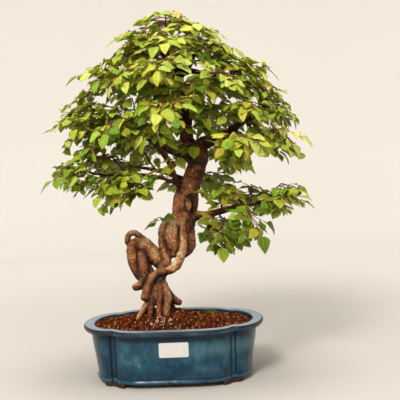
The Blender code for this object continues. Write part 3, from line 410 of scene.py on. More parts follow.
# Leafy twigs inside the crown, written as the sprays are
FILLS = [
    ("inner_left", "left_back", 0.62, (-73, -8, 404), 20),
    ("inner_left_mid", "left_back", 0.35, (-22, -30, 402), 26),
    ("inner_left_low", "left_low", 0.5, (-44, -34, 286), 28),
    ("inner_right", "leader", 0.5, (62, -12, 404), 20),
    ("inner_front", "leader", 0.75, (44, -34, 434), 24),
    ("inner_front_left", "leader", 0.8, (-6, -36, 428), 24),
    ("side_high_right", "top_right", 0.4, (100, -2, 468), 16),
    ("side_left", "left_front", 0.8, (-106, -20, 342), 20),
    ("inner_low_right", "low_right", 0.4, (80, -20, 280), 22),
    ("end_low_right", "low_right", 0.95, (166, -28, 284), 12),
    ("right_side", "up_right", 0.9, (146, -6, 344), 24),
    ("back_inner_left", "back_left", 0.6, (-58, 62, 372), 22),
    ("back_inner_right", "back_right", 0.5, (70, 66, 408), 22),
    ("back_top_left", "back_high", 0.6, (-40, 68, 462), 22),
    ("back_top_right", "back_high", 0.5, (62, 64, 462), 22),
    ("back_low_right", "back_right", 0.4, (84, 72, 330), 26),
    ("left_high_fill", "left_back", 0.8, (-98, -5, 412), 16),
    ("left_end_fill", "left_front", 0.9, (-142, -15, 356), 18),
    ("left_low_fill", "left_low", 0.85, (-122, -30, 290), 24),
    ("right_high_fill", "high_right", 0.9, (144, -5, 412), 18),
    ("right_end_fill", "right_mid", 0.9, (184, -10, 333), 18),
    ("low_right_end_fill", "low_right", 0.9, (156, -30, 246), 26),
    ("low_right_under_fill", "low_right", 0.3, (60, -30, 198), 40),
    ("left_under_fill", "left_low", 0.6, (-88, -38, 266), 30),
    ("left_outer_fill", "left_back", 1.0, (-156, 4, 392), 12),
    ("left_low_outer_fill", "left_low", 1.0, (-160, -20, 320), 12),
    ("right_outer_fill", "up_right", 1.0, (172, 6, 392), 14),
    ("low_right_top_fill", "low_right", 0.8, (122, -16, 284), 16),
    ("knob_twig", "knob_left", 0.05, (-15, -12, 240), 30),
    ("fork_left", "left_front", 0.4, (8, -24, 322), 30),
    ("fork_front", "leader", 0.1, (32, -26, 350), 34),
    ("fork_right", "up_right", 0.3, (60, -18, 376), 30),
    ("leader_front", "leader", 0.3, (26, -26, 374), 30),
    ("apex_front", "apex", 0.5, (4, -26, 520), 26),
    ("high_front_fill", "leader", 0.9, (0, -36, 450), 30),
    ("high_middle_fill", "top_right", 0.2, (52, -26, 468), 26),
    ("fork_low_left", "left_low", 0.25, (-8, -22, 312), 30),
    ("left_gap_fill", "left_back", 0.5, (-48, -22, 417), 22),
]

# Fills that keep a few leaves on each shoot
SMALL_FILLS = {"knob_twig": 1, "fork_left": 2, "fork_front": 1, "fork_right": 2, "leader_front": 1,
               "apex_front": 3, "high_front_fill": 3, "high_middle_fill": 3, "fork_low_left": 1,
               "left_gap_fill": 3}

# The crown's outline in the photo, in pixels, and its open places: middle, half width, half height
PHOTO_MIDDLE = 200
CROWN_OUTLINE = [
    (143, 12), (181, 12), (194, 25), (206, 33), (216, 28), (226, 30), (229, 44), (235, 54), (253, 58),
    (252, 67), (272, 78), (265, 84), (290, 91), (287, 103), (300, 120), (301, 129), (285, 133),
    (287, 140), (299, 146), (305, 156), (290, 162), (272, 156), (250, 168), (235, 184), (262, 190),
    (284, 190), (302, 187), (314, 190), (310, 204), (293, 210), (282, 219), (264, 214), (250, 219),
    (276, 250), (247, 254), (213, 258), (203, 241), (198, 226), (176, 198), (160, 199), (143, 199),
    (132, 205), (110, 216), (98, 217), (104, 199), (69, 194), (54, 184), (54, 166), (72, 159), (60, 147),
    (72, 133), (55, 121), (58, 109), (77, 103), (86, 82), (102, 64), (115, 51), (117, 40), (118, 34),
    (135, 32), (138, 24), (146, 21),
]
OPEN_PLACES = [
    (127, 100, 5, 2), (230, 102, 6, 5), (150, 159, 7, 7), (213, 168, 9, 11), (268, 128, 14, 3),
    (288, 137, 8, 5), (261, 226, 15, 6), (229, 213, 19, 3), (198, 231, 4, 8), (160, 197, 13, 8),
    (197, 163, 11, 12), (188, 187, 13, 28), (62, 129, 12, 6), (243, 175, 16, 5), (208, 116, 4, 3),
    (118, 160, 7, 5), (140, 170, 6, 4), (222, 228, 7, 4), (247, 222, 7, 4),
]
VISIBLE_WOOD = [
    [(184, 150), (186, 112)], [(200, 147), (222, 139), (246, 119), (258, 112)],
    [(178, 154), (164, 148), (146, 138)], [(182, 84), (181, 71), (168, 61)],
    [(188, 71), (214, 76), (234, 75)], [(195, 217), (222, 211), (240, 203)],
    [(176, 190), (165, 170), (157, 150)],
]
VISIBLE_REACH = 4
VISIBLE_DEPTH = 5

# Shoots and their leaves, in millimetres and degrees
APEX_TURN = 1.9
APEX_RISE = 0.45
FIRST_LEAF = 9
RIB_HALF_WIDTH = 0.7
RIB_SAG = 0.0028
LEAF_LENGTH = 23
LEAF_HALF_WIDTH = 8.2
LEAF_PITCH = 9
PITCH_RANGE = (0.9, 1.1)
LEAF_ANGLE = 54
LEAF_TURN = 7
LEAF_MIDDLE = 0.55
LEAF_TEETH = 11
TOOTH_WIDTH = 1.15
NOTCH_WIDTH = 0.92
TOOTH_LEAN = 0.45
HALFWAY = 0.52
STALK_HALF_WIDTH = 0.42
LEAF_FULLNESS = 2.78
LEAF_BASE_POWER = 0.55
LEAF_TIP_POWER = 1.05
LEAF_THICKNESS = 0.4
EDGE_THINNING = 0.35
LEAF_WIDTHS = (0.88, 1.08)
LEAF_BENDS = (0.05, 0.75)
LEAF_FOLDS = (2, 26)
LEAF_WAVES = (0.3, 1.4)
LEAF_CURLS = (-0.02, 0.05)
WAVE_TURNS = 9
WAVE_OFFSET = 1.3
PETIOLE_LENGTH = 3.4
LEAF_SPACING = 6.7

# How bright a leaf is, and how that changes with its place in the crown: painted light at the top,
# at the sides, on the outside and more on the right, painted shade low in the crown, and a random spread
LEAF_TONE = 0.42
TONE_SPREAD = 0.14
DARKEST_LEAF, BRIGHTEST_LEAF = 0.02, 0.86
TOP_GAIN = 0.10
LOW_LOSS = 0.26
UNDER_LOSS = 0.5
UNDER_LINE = 0.55
SIDE_GAIN = 0.08
RIGHT_GAIN = 0.14
OUTER_GAIN = 0.17
OUTER_REACH = 1.1
WARM_SHARE = 0.12
WARM_TINTS = (0.15, 0.6)
COOL_TINT = (0.40, 0.40)
COOL_MOST = 1.1
COOL_FALL = 1.25

# Soil
SOIL_INSET = 17
SOIL_LOW = 60
GRAIN_LAYERS = ((4.0, 2.3), (4.8, 2.0))
LAYER_RISE = 1.5
GRAIN_STRAY = 0.45
GRAIN_SIZES = (0.65, 1.2)
GRAIN_LIFT = (-0.3, 0.2)
GRAIN_ROOM = 0.7
GRAIN_SQUEEZE = (0.72, 1.15)
CORNER_RANGE = (0.84, 1.14)
GRAIN_TONE = (0.48, 0.24)
DARKEST_GRAIN, BRIGHTEST_GRAIN = 0.02, 0.88
PALE_GRAINS = 0.012
PALE_TONES = (0.88, 0.92)
GRANULES = 46
GRANULES_PLACE = Vector((-17, -48))
GRANULES_SPREAD = Vector((8, 6))
GRANULE_RADII = (0.5, 1.25)
GRANULE_LIFT = 2.4
GRANULE_TONES = (0.95, 1)
PEBBLE_PLACE = Vector((-30, -51))
PEBBLE_RADIUS = 3.2
PEBBLE_LIFT = 2.2
PEBBLE_TONE = 0.93
MOSS_PLACE = Vector((58, 62, 79))
MOSS_REACH = Vector((13, 5))
MOSS_STRANDS = 520
MOSS_COLOURS = ((0.020, 0.038, 0.004), (0.120, 0.165, 0.014))
MOSS_SPREAD = 0.5
MOSS_LEAN = 0.5
MOSS_LENGTHS = (1.6, 3.4)
MOSS_RADII = (0.75, 0.6, 0.15)


def smooth_route(route, steps):
    """Points and radii along a Catmull-Rom curve through a route."""
    knots = [Vector(p) for p in route]
    knots = [knots[0] * 2 - knots[1]] + knots + [knots[-1] * 2 - knots[-2]]
    out = []
    for a, b, c, d in zip(knots, knots[1:], knots[2:], knots[3:]):
        for step in range(steps):
            t = step / steps
            bend = b * 2 + (c - a) * t
            bend += (a * 2 - b * 5 + c * 4 - d) * t * t
            bend += (b * 3 - a - c * 3 + d) * t * t * t
            out.append(bend / 2)
    out.append(knots[-2])
    return [Vector(p[:3]) for p in out], [p[3] for p in out]


def along(points, share):
    """The point at a share of a line's length, and the line's direction there."""
    spans = [(b - a).length for a, b in zip(points, points[1:])]
    left = share * sum(spans)
    for a, b, span in zip(points, points[1:], spans):
        if left <= span or b is points[-1]:
            return a.lerp(b, min(left / span, 1)), (b - a).normalized()
        left -= span


def headings(points):
    """A line's direction at each of its points."""
    return [(b - a).normalized() for a, b in zip(points[:1] + points[:-1], points[1:] + points[-1:])]


def circle(count):
    """Angles evenly round a circle."""
    return [2 * math.pi * k / count for k in range(count)]


def skin(rings, count):
    """Faces of a body made of rings of points, with a cap on each end."""
    faces = []
    for ring in range(rings - 1):
        for k in range(count):
            low, low_next = ring * count + k, ring * count + (k + 1) % count
            faces.append((low, low_next, low_next + count, low + count))
    first, last = range(count), range((rings - 1) * count, rings * count)
    return faces + [tuple(reversed(first)), tuple(last)]


def tube(points, radii, sides):
    """Vertices and faces of a capped tube round a line."""
    tangents = headings(points)
    normal = tangents[0].orthogonal().normalized()
    verts = []
    for k, (point, radius, tangent) in enumerate(zip(points, radii, tangents)):
        if k:
            normal = tangents[k - 1].rotation_difference(tangent) @ normal
        side = tangent.cross(normal)
        verts += [point + (normal * math.cos(a) + side * math.sin(a)) * radius for a in circle(sides)]
    return verts, skin(len(points), sides)


class Heap:
    """Several bodies gathered into one mesh, with a number for each vertex."""

    def __init__(self):
        self.verts = []
        self.faces = []
        self.marks = []

    def add(self, verts, faces, mark=0.0):
        start = len(self.verts)
        self.verts += verts
        self.faces += [tuple(i + start for i in face) for face in faces]
        self.marks += [mark] * len(verts)


def piece(name, verts, faces, finish, smooth=True):
    """A new object from points in millimetres."""
    mesh = bpy.data.meshes.new(name)
    places = np.array([tuple(v) for v in verts]) * MM + np.array(SHIFT)
    mesh.from_pydata(places, [], faces)
    mesh.update()
    mesh.polygons.foreach_set("use_smooth", [smooth] * len(mesh.polygons))
    mesh.materials.append(finish)
    return linked(name, mesh)


def linked(name, data):
    """A new object of the scene."""
    thing = bpy.data.objects.new(name, data)
    bpy.context.scene.collection.objects.link(thing)
    return thing


def keep(thing, slot, *nodes):
    """Let a piece ride on the plant's body and stand for its nodes."""
    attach(thing, "root")
    if nodes:
        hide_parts(*nodes)


def paint(thing, **layers):
    """Store one number, or one vector, for each of a mesh's vertices, under each name."""
    for name, values in layers.items():
        values = np.asarray(values, dtype=np.float32)
        kind, field = ("FLOAT", "value") if values.ndim == 1 else ("FLOAT_VECTOR", "vector")
        layer = thing.data.attributes.new(name, kind, "POINT")
        layer.data.foreach_set(field, values.ravel())


def applied(thing):
    """Make the modifiers' result the object's own mesh."""
    graph = bpy.context.evaluated_depsgraph_get()
    graph.update()
    mesh = bpy.data.meshes.new_from_object(thing.evaluated_get(graph))
    thing.modifiers.clear()
    thing.data = mesh
    return thing


class Value:
    """A shader value that can be reckoned with."""

    def __init__(self, finish, socket):
        self.finish = finish
        self.socket = socket

    def __add__(self, other):
        return self.finish.math("ADD", self, other)

    def __sub__(self, other):
        return self.finish.math("SUBTRACT", self, other)

    def __mul__(self, other):
        return self.finish.math("MULTIPLY", self, other)

    def __abs__(self):
        return self.finish.math("ABSOLUTE", self)


class Finish:
    """One procedural material, with short calls for its nodes."""

    def __init__(self, name, **fixed):
        self.material = bpy.data.materials.new(name)
        self.material.use_nodes = True
        self.tree = self.material.node_tree
        self.shader = self.tree.nodes["Principled BSDF"]
        self.set(**fixed)
        self.place = self.node("TexCoord", "Object")

    def set(self, **inputs):
        for socket, value in inputs.items():
            self.feed(self.shader.inputs[socket.replace("_", " ")], value)
        return self.material

    def feed(self, socket, value):
        if isinstance(value, Value):
            self.tree.links.new(value.socket, socket)
        else:
            socket.default_value = value

    def node(self, kind, output, inputs=None, **settings):
        """The output of a new node, with its inputs fed."""
        node = self.tree.nodes.new("ShaderNode" + kind)
        for setting, value in settings.items():
            setattr(node, setting, value)
        for socket, value in (inputs or {}).items():
            self.feed(node.inputs[socket], value)
        return Value(self, node.outputs[output])

    def math(self, operation, *values):
        return self.node("Math", 0, dict(enumerate(values)), operation=operation)

    def noise(self, scale, detail, rough, at=None, distortion=0.0):
        inputs = {"Vector": at or self.place, "Scale": scale, "Detail": detail,
                  "Roughness": rough, "Distortion": distortion}
        return self.node("TexNoise", "Fac", inputs)

    def band(self, value, low, high, start=0.0, end=1.0):
        """A value's share between two limits, eased and kept between start and end."""
        inputs = {0: value, 1: low, 2: high, 3: start, 4: end}
        return self.node("MapRange", 0, inputs, interpolation_type="SMOOTHSTEP")

    def mix(self, share, first, second, blend="MIX"):
        colours = [c if isinstance(c, Value) else (*c, 1) for c in (first, second)]
        inputs = {0: share, 6: colours[0], 7: colours[1]}
        return self.node("Mix", 2, inputs, data_type="RGBA", blend_type=blend)

    def coated(self, colour, *layers):
        """A colour under layers of (share, colour), each with a way to blend if it isn't plain."""
        for share, *layer in layers:
            colour = self.mix(share, colour, *layer)
        return colour

    def shades(self, value, *stops):
        """A colour ramp: stops are (place, colour)."""
        shade = self.node("ValToRGB", 0, {0: value})
        elements = shade.socket.node.color_ramp.elements
        while len(elements) < len(stops):
            elements.new(1)
        for element, (place, colour) in zip(elements, stops):
            element.position = place
            element.color = (*colour, 1)
        return shade

    def painted(self, name, part=None):
        """A number, or a part of a vector, stored on the mesh."""
        if part is None:
            return self.node("Attribute", "Fac", attribute_name=name)
        vector = self.node("Attribute", "Vector", attribute_name=name)
        return self.node("SeparateXYZ", part, {0: vector})

    def raised(self, *layers):
        """Bump from (height, depth in millimetres) layers, one on the other."""
        below = {}
        for height, depth in layers:
            inputs = {"Height": height, "Strength": 1.0, "Distance": depth * MM, **below}
            below = {"Normal": self.node("Bump", 0, inputs)}
        self.set(**below)


def glaze_finish():
    """Mottled teal-blue glaze, paler on the flat rim top and brown where it runs thin at the edges.
    Painted shade darkens it in the grooves along with its pooling, under the lip, above the moulding, low
    on the wall, on the lobes and inside; painted light brightens the rim top and a band across the belly.
    """
    f = Finish("glaze", Coat_Weight=0.04, Coat_Roughness=0.1, Specular_IOR_Level=0.22)
    thin, bare = f.painted("thin"), f.painted("bare")
    drawn_out = f.node("Mapping", 0, {"Vector": f.place, "Scale": (1, 1, 0.5)})
    broad = f.noise(26, 2.5, 0.55, distortion=0.7)
    middle = f.noise(105, 4.0, 0.62, at=drawn_out)
    speckle = f.noise(800, 3.0, 0.65)
    blue = f.shades(broad * 0.66 + middle * 0.34,
                    (0.32, (0.004, 0.013, 0.025)), (0.43, (0.007, 0.033, 0.060)),
                    (0.52, (0.011, 0.062, 0.097)), (0.60, (0.032, 0.098, 0.125)),
                    (0.70, (0.110, 0.165, 0.180)))
    colour = f.coated(
        blue,
        (f.band(speckle, 0.48, 0.68, 0, 0.7), (0.004, 0.020, 0.045)),
        (f.band(speckle, 0.40, 0.28, 0, 0.5), (0.050, 0.165, 0.230)),
        # Painted light across the belly, stronger to the right
        (f.painted("pale"), f.mix(middle, (0.050, 0.130, 0.160), (0.130, 0.230, 0.240))),
        # Painted shade with the glaze pooled in the grooves: under the lip, above the moulding, low on
        # the wall, on the lobes and inside
        (f.painted("pool_and_shade") * 0.9, (0.003, 0.011, 0.028)),
        # The flat rim top: paler glaze, with painted light on its upward face
        (f.painted("flat") * 0.92, f.mix(middle, (0.10, 0.19, 0.26), (0.25, 0.36, 0.43))),
        (f.painted("moulding") * f.band(f.noise(170, 3.0, 0.7), 0.44, 0.60), (0.018, 0.080, 0.130)),
        # Brown thin glaze at the rim's edge, and at the lip's lower edge thin glaze with painted shade
        (thin * f.band(f.noise(150, 3.0, 0.6), 0.34, 0.50, 0.75, 1.0), (0.015, 0.006, 0.005)),
        (bare, f.mix(f.noise(260, 4.0, 0.6), (0.016, 0.007, 0.005), (0.060, 0.026, 0.016))))
    f.raised((broad, 0.6), (middle, 0.22), (speckle, 0.04))
    dull = f.math("MAXIMUM", bare, thin * 0.5)
    return f.set(Base_Color=colour, Roughness=speckle * 0.2 + 0.14 + dull * 0.5)


def bark_finish():
    """Smooth old bark, pale tan to red-brown, with painted light on top and painted shade below, in the
    creases and seams and in the wound's hollow.
    """
    f = Finish("bark", Specular_IOR_Level=0.16)
    fine = f.noise(520, 5.0, 0.66)
    mottle = f.noise(210, 4.0, 0.7, distortion=0.4)
    patch = f.noise(75, 3.0, 0.6)
    fleck = f.noise(820, 3.0, 0.65)
    # The painted lightness holds painted light and shade as well as the bark's own tone
    tone = f.painted("light") + (patch - 0.46) * 0.65 + (mottle - 0.5) * 0.85
    tone = tone + (fine - 0.5) * 0.75 + (f.painted("fibre") - 0.5) * 0.4
    brown = f.shades(tone, (0.0, (0.012, 0.004, 0.001)), (0.25, (0.060, 0.020, 0.005)),
                     (0.5, (0.190, 0.077, 0.022)), (0.75, (0.375, 0.215, 0.098)),
                     (1.0, (0.650, 0.490, 0.325)))
    colour = f.coated(
        brown,
        (f.painted("red") * f.band(patch, 0.30, 0.62, 0.35, 1.0), (1.0, 0.52, 0.42), "MULTIPLY"),
        # Painted shade in the creases and the seams between strands
        (f.painted("crease") * 0.88, (0.014, 0.005, 0.002)),
        (f.band(fleck, 0.58, 0.72, 0, 0.4), (0.580, 0.430, 0.310)),
        # Painted shade in the wound's hollow
        (f.painted("hollow"), f.mix(fine, (0.006, 0.003, 0.002), (0.040, 0.019, 0.010))))
    f.raised((patch, 0.7), (mottle, 0.6), (fine, 0.4), (fleck, 0.12))
    return f.set(Base_Color=colour, Roughness=f.band(fine, 0.3, 0.7, 0.42, 0.7))


def twig_finish():
    f = Finish("twig_bark", Specular_IOR_Level=0.3)
    fine = f.noise(900, 4.0, 0.6)
    old = f.mix(fine, (0.018, 0.008, 0.005), (0.090, 0.038, 0.020))
    young = f.mix(fine, (0.130, 0.036, 0.014), (0.330, 0.130, 0.045))
    f.raised((fine, 0.2))
    return f.set(Base_Color=f.mix(f.painted("young"), old, young), Roughness=0.7)


def leaf_finish():
    """A leaf's green, with painted light and shade by its place in the crown, and paler ribs and side
    veins.
    """
    f = Finish("leaf", Specular_IOR_Level=0.19, Subsurface_Weight=0.45, Subsurface_Scale=0.0012,
               Subsurface_Radius=(1.0, 1.0, 0.3))
    across = abs(f.painted("leaf_place", 1))
    patch = f.noise(210, 3.0, 0.6)
    phase = (f.painted("leaf_place", 0) - across * 0.17) * LEAF_TEETH
    comb = abs(f.math("FRACT", phase) - 0.5)
    rib = f.band(across, 0.07, 0.0)
    veins = f.math("MAXIMUM", f.band(comb, 0.13, 0.0) * 0.30, rib)
    # The tone carries painted light and shade from the leaf's place in the crown
    tone = f.painted("leaf_place", 2) + (patch - 0.5) * 0.32 + across * 0.07
    green = f.shades(tone, (0.0, (0.024, 0.046, 0.002)), (0.25, (0.092, 0.138, 0.004)),
                     (0.5, (0.228, 0.276, 0.009)), (0.75, (0.385, 0.398, 0.036)),
                     (1.0, (0.560, 0.516, 0.130)))
    colour = f.coated(
        green,
        (f.painted("leaf_tint", 2), (0.42, 0.93, 1.05), "MULTIPLY"),
        (f.painted("leaf_tint", 0), f.mix(patch, (0.34, 0.130, 0.018), (0.56, 0.360, 0.030))),
        (f.band(across, 0.72, 1.0, 0, 0.28), (0.500, 0.330, 0.030)),
        (veins * 0.38, (0.58, 0.66, 0.14)),
        (f.painted("leaf_tint", 1) * 0.35, (0.19, 0.24, 0.05)))
    f.raised((comb, 0.45), (rib, -0.35))
    return f.set(Base_Color=colour, Roughness=f.band(patch, 0.2, 0.8, 0.36, 0.52))


def grain_finish():
    f = Finish("grains", Specular_IOR_Level=0.08)
    fine = f.noise(1100, 4.0, 0.65)
    colour = f.shades(f.painted("tone"), (0.0, (0.012, 0.003, 0.001)), (0.30, (0.060, 0.010, 0.003)),
                      (0.62, (0.150, 0.032, 0.008)), (0.84, (0.300, 0.095, 0.024)),
                      (0.93, (0.500, 0.260, 0.095)), (1.0, (0.720, 0.660, 0.560)))
    f.raised((fine, 0.45))
    dusty = f.band(fine, 0.55, 0.30, 0, 0.6)
    return f.set(Base_Color=f.mix(dusty, colour, (0.030, 0.007, 0.003)), Roughness=0.9)


def soil_finish():
    f = Finish("soil_bed", Specular_IOR_Level=0.15)
    fine = f.noise(420, 4.0, 0.65)
    lumps = f.node("TexVoronoi", "Distance", {"Vector": f.place, "Scale": 330})
    f.raised((lumps, 1.2), (fine, 0.6))
    return f.set(Base_Color=f.mix(fine, (0.006, 0.002, 0.001), (0.050, 0.012, 0.004)), Roughness=0.95)


def plain_finish(name, grain, depth, dark, pale, rough, gloss=0.5):
    """A finish that one fine noise colours and raises."""
    f = Finish(name, Specular_IOR_Level=gloss)
    fine = f.noise(*grain)
    f.raised((fine, depth))
    return f.set(Base_Color=f.mix(fine, dark, pale), Roughness=rough)


def stage_finish():
    f = Finish("stage", Specular_IOR_Level=0.1)
    soft = f.noise(1.3, 2.0, 0.5)
    away = f.node("VectorMath", "Value", {0: f.place}, operation="LENGTH")
    # The floor is painted darker near the middle and the cove paler farther out: painted shade on the
    # floor
    near = f.mix(soft, (0.460, 0.435, 0.400), (0.480, 0.455, 0.420))
    far = f.mix(soft, (0.770, 0.745, 0.705), (0.790, 0.765, 0.725))
    return f.set(Base_Color=f.mix(f.band(away, 0.2, 1.7), near, far), Roughness=0.85)


def bump_at(value, middle, width):
    """1 in the middle of a soft band, falling to 0 beyond its width."""
    return math.exp(-((value - middle) / width) ** 2)


def profile_rings():
    """The pot's profile as (inset, height) in small steps."""
    points, _ = smooth_route([(inset, height, 0, 0) for inset, height in POT_PROFILE], 3)
    return [(p.x, p.y) for p in points]


def groove(distance, height):
    """How far the outline steps in near a crease: two grooves beside a bead, in a soft hollow."""
    deep, wide = WALL_GROOVE if height < LIP_LOW else LIP_GROOVE
    pair = bump_at(distance, -GROOVE_SPACING, wide) + bump_at(distance, GROOVE_SPACING, wide)
    return deep * pair + HOLLOW_DEPTH * bump_at(distance, 0, HOLLOW_WIDTH)


def pooled(deep):
    """How dark the glaze is where the outline steps in by so much: pooled glaze with painted shade in the
    grooves.
    """
    return min(max((deep - HOLLOW_DEPTH) / POOLED_DEPTH, 0), 1)


def front_line(x, inset):
    """The y of the front outline at a place along it."""
    sag = POT_DEPTH / 2 - CREASE_Y
    return inset - POT_DEPTH / 2 + sag * (abs(x) / CREASE_X) ** FRONT_POWER


def quarter_plan(inset, height=40):
    """Points from the middle of the front to the middle of the right end, with their pooled glaze and
    painted groove shade.
    """
    edge = CREASE_STEP * CREASE_STEPS
    lobe = POT_LENGTH / 2 - inset - CREASE_X
    start = math.acos((edge / lobe) ** (LOBE_POWER / 2))
    places = [(CREASE_X - edge) * step / FRONT_STEPS for step in range(FRONT_STEPS)]
    places += [CREASE_X + step * CREASE_STEP for step in range(-CREASE_STEPS, CREASE_STEPS + 1)]
    points = []
    for x in places:
        y = front_line(x, inset)
        if x >= CREASE_X:
            y = (inset - CREASE_Y) * (1 - ((x - CREASE_X) / lobe) ** LOBE_POWER) ** (1 / LOBE_POWER)
        points.append((x, y, groove(x - CREASE_X, height)))
    for step in range(1, LOBE_STEPS + 1):
        angle = start * (1 - step / LOBE_STEPS)
        x = CREASE_X + lobe * math.cos(angle) ** (2 / LOBE_POWER)
        y = (inset - CREASE_Y) * math.sin(angle) ** (2 / LOBE_POWER)
        points.append((x, y, groove(x - CREASE_X, height) * math.sin(angle)))
    return [(x, y + deep, pooled(deep)) for x, y, deep in points]


def plan(inset, height):
    """The whole outline, anticlockwise from the middle of the front."""
    quarter = quarter_plan(inset, height)
    right = quarter + [(x, -y, deep) for x, y, deep in reversed(quarter[:-1])]
    return right + [(-x, y, deep) for x, y, deep in reversed(right[1:-1])]


def wall_sway(x, y, z):
    """How far the wall strays from its plan, as on a pot made by hand."""
    return noise.noise(Vector((x, y, z)) / SWAY_SPACING) * SWAY


def glaze_marks(x, inset, height, deep, outside):
    """Shares at a place of the pot: pooled glaze with painted shade, the flat rim top with painted light,
    thin glaze with painted shade under the lip, streaked moulding, bare clay and a band of painted light.
    """
    lobe = (LOBE_SHADE_LEFT if x < 0 else LOBE_SHADE_RIGHT) if abs(x) > CREASE_X else 0
    # Glaze pooled in the grooves with painted shade there, painted shade on the lobes and in the shade
    # bands
    pool_and_shade = max(deep, lobe, *(share * bump_at(height, *band) for *band, share in PAINTED_SHADE_BANDS))
    # Thin glaze at the rim's edge; at the lip's lower edge thin glaze with painted shade
    thin = sum(bump_at(height, *band) * (inset < reach) for *band, reach in THIN_GLAZE_AND_SHADE_BANDS)
    # Painted light across the belly, more of it to the right
    pale = min(max(PAINTED_LIGHT_MIDDLE + PAINTED_LIGHT_SLOPE * x / CREASE_X, PAINTED_LIGHT_LEAST), PAINTED_LIGHT_MOST)
    pale *= bump_at(height, *PAINTED_LIGHT_BAND)
    # The flat rim top: paler glaze, with painted light on its upward face
    flat = float(height > RIM_LOW and RIM_EDGE < inset < RIM_INNER)
    bare = float(height < GLAZE_LOW)
    if outside:
        return min(pool_and_shade, 1), flat, min(thin, 1), bump_at(height, *MOULDING_BAND), bare, pale
    # Inside, painted shade below the soil line
    return 0 if height > SOIL_LINE else INNER_SHADE, flat, 0, 0, bare, 0


def make_pot(finish):
    rings = profile_rings()
    verts, marks = [], []
    for k, (inset, height) in enumerate(rings):
        outside = k < len(rings) * OUTSIDE_SHARE
        for x, y, deep in plan(inset, height):
            sway = wall_sway(x, y, height)
            heading = Vector((x, y)).normalized()
            if outside and inset < SWAY_INSET:
                x, y = x + heading.x * sway, y + heading.y * sway
            verts.append((x, y, height + sway * SWAY_RISE))
            marks.append(glaze_marks(x, inset, height, deep, outside))
    pot = piece("pot_body", verts, skin(len(rings), len(verts) // len(rings)), finish)
    paint(pot, **dict(zip(("pool_and_shade", "flat", "thin", "moulding", "bare", "pale"), zip(*marks))))
    for side in (-1, 1):
        drill(pot, side * DRAIN_X, DRAIN_RADIUS)
    keep(pot, "glaze", "pot")


def drill(pot, x, radius):
    """Cut a round hole through the pot's floor."""
    turns = circle(DRAIN_SIDES)
    verts = [(x + radius * math.cos(a), radius * math.sin(a), z) for z in (0, DRAIN_HIGH) for a in turns]
    tool = piece("drill", verts, skin(2, DRAIN_SIDES), pot.data.materials[0])
    modifier = pot.modifiers.new("hole", "BOOLEAN")
    modifier.operation = "DIFFERENCE"
    modifier.solver = "EXACT"
    modifier.object = tool
    applied(pot)
    bpy.data.objects.remove(tool)


def foot_edge(inset, last):
    """The part of an outline that a foot follows."""
    return [Vector(p[:2]) for p in quarter_plan(inset) if FOOT_FIRST < p[0] < last]


def make_feet(finish):
    """Four low clay feet that follow the outline round the creases."""
    inner = foot_edge(FOOT_INNER_INSET, FOOT_INNER_LAST)[::4]
    loop = foot_edge(FOOT_OUTER_INSET, FOOT_LAST) + inner[::-1]
    middle = sum(loop, Vector((0, 0))) / len(loop)
    heap = Heap()
    for side_x, side_y in product((-1, 1), repeat=2):
        verts = []
        for height, share in FOOT_STEPS:
            for p in loop:
                q = middle + (p - middle) * share
                rough = noise.noise(Vector((q.x, q.y, height)) / 4) * FOOT_ROUGHNESS * (height > 0)
                verts.append((q.x * side_x, q.y * side_y + rough, height))
        faces = skin(len(FOOT_STEPS), len(loop))
        heap.add(verts, [face[::side_x * side_y] for face in faces], 1.0)
    feet = piece("pot_feet", heap.verts, heap.faces, finish)
    paint(feet, bare=heap.marks)
    keep(feet, "glaze")


def wall_inset(height):
    """The outer wall's inset at a height between the moulding and the lip."""
    wall = [(z, inset) for inset, z in profile_rings() if inset > LIP_INSET]
    low, high = next((a, b) for a, b in zip(wall, wall[1:]) if MOULDING_TOP < a[0] <= height <= b[0])
    share = (height - low[0]) / (high[0] - low[0])
    return low[1] + share * (high[1] - low[1])


def make_label(finish):
    """A blank paper sticker with round corners that follows the wall."""
    corner = [LABEL_CORNER * share for share in (0, 0.12, 0.35, 0.7)]
    height = LABEL_HIGH - LABEL_LOW
    middle = [LABEL_CORNER + (height - 2 * LABEL_CORNER) * row / 5 for row in range(6)]
    rows = corner + middle + [height - rise for rise in reversed(corner)]
    shares = [column / LABEL_COLUMNS for column in range(LABEL_COLUMNS + 1)]
    verts = []
    for rise in rows:
        z, inset = LABEL_LOW + rise, wall_inset(LABEL_LOW + rise)
        edge = max(LABEL_CORNER - min(rise, height - rise), 0)
        cut = LABEL_CORNER - math.sqrt(max(LABEL_CORNER ** 2 - edge ** 2, 0))
        for off, order in ((LABEL_FACE, shares), (LABEL_BACK, shares[::-1])):
            for share in order:
                x = (LABEL_LEFT + cut) * (1 - share) + (LABEL_RIGHT - cut) * share
                y = front_line(x, inset)
                verts.append((x, y - wall_sway(x, y, z) - off, z))
    label = piece("sticker", verts, skin(len(rows), 2 * len(shares)), finish)
    label.data.set_sharp_from_angle(angle=math.radians(50))
    keep(label, "paper", "label")


def rounded(points, radii):
    """Close a line's ends in small steps, so that they are knobs and not cuts."""
    for _ in ("end", "start"):
        end, radius = points[-1], radii[-1]
        out = (end - points[-2]).normalized() * radius
        points = (points + [end + out * step[0] for step in KNOB_STEPS])[::-1]
        radii = (radii + [radius * step[1] for step in KNOB_STEPS])[::-1]
    return points, radii


def grown(heap, finish):
    """One smooth body from overlapping tubes."""
    wood = piece("wood", heap.verts, heap.faces, finish)
    remesh = wood.modifiers.new("grown", "REMESH")
    remesh.mode = "VOXEL"
    remesh.voxel_size = WOOD_VOXEL * MM
    smooth = wood.modifiers.new("smooth", "SMOOTH")
    smooth.factor = 0.5
    smooth.iterations = 3
    return applied(wood)


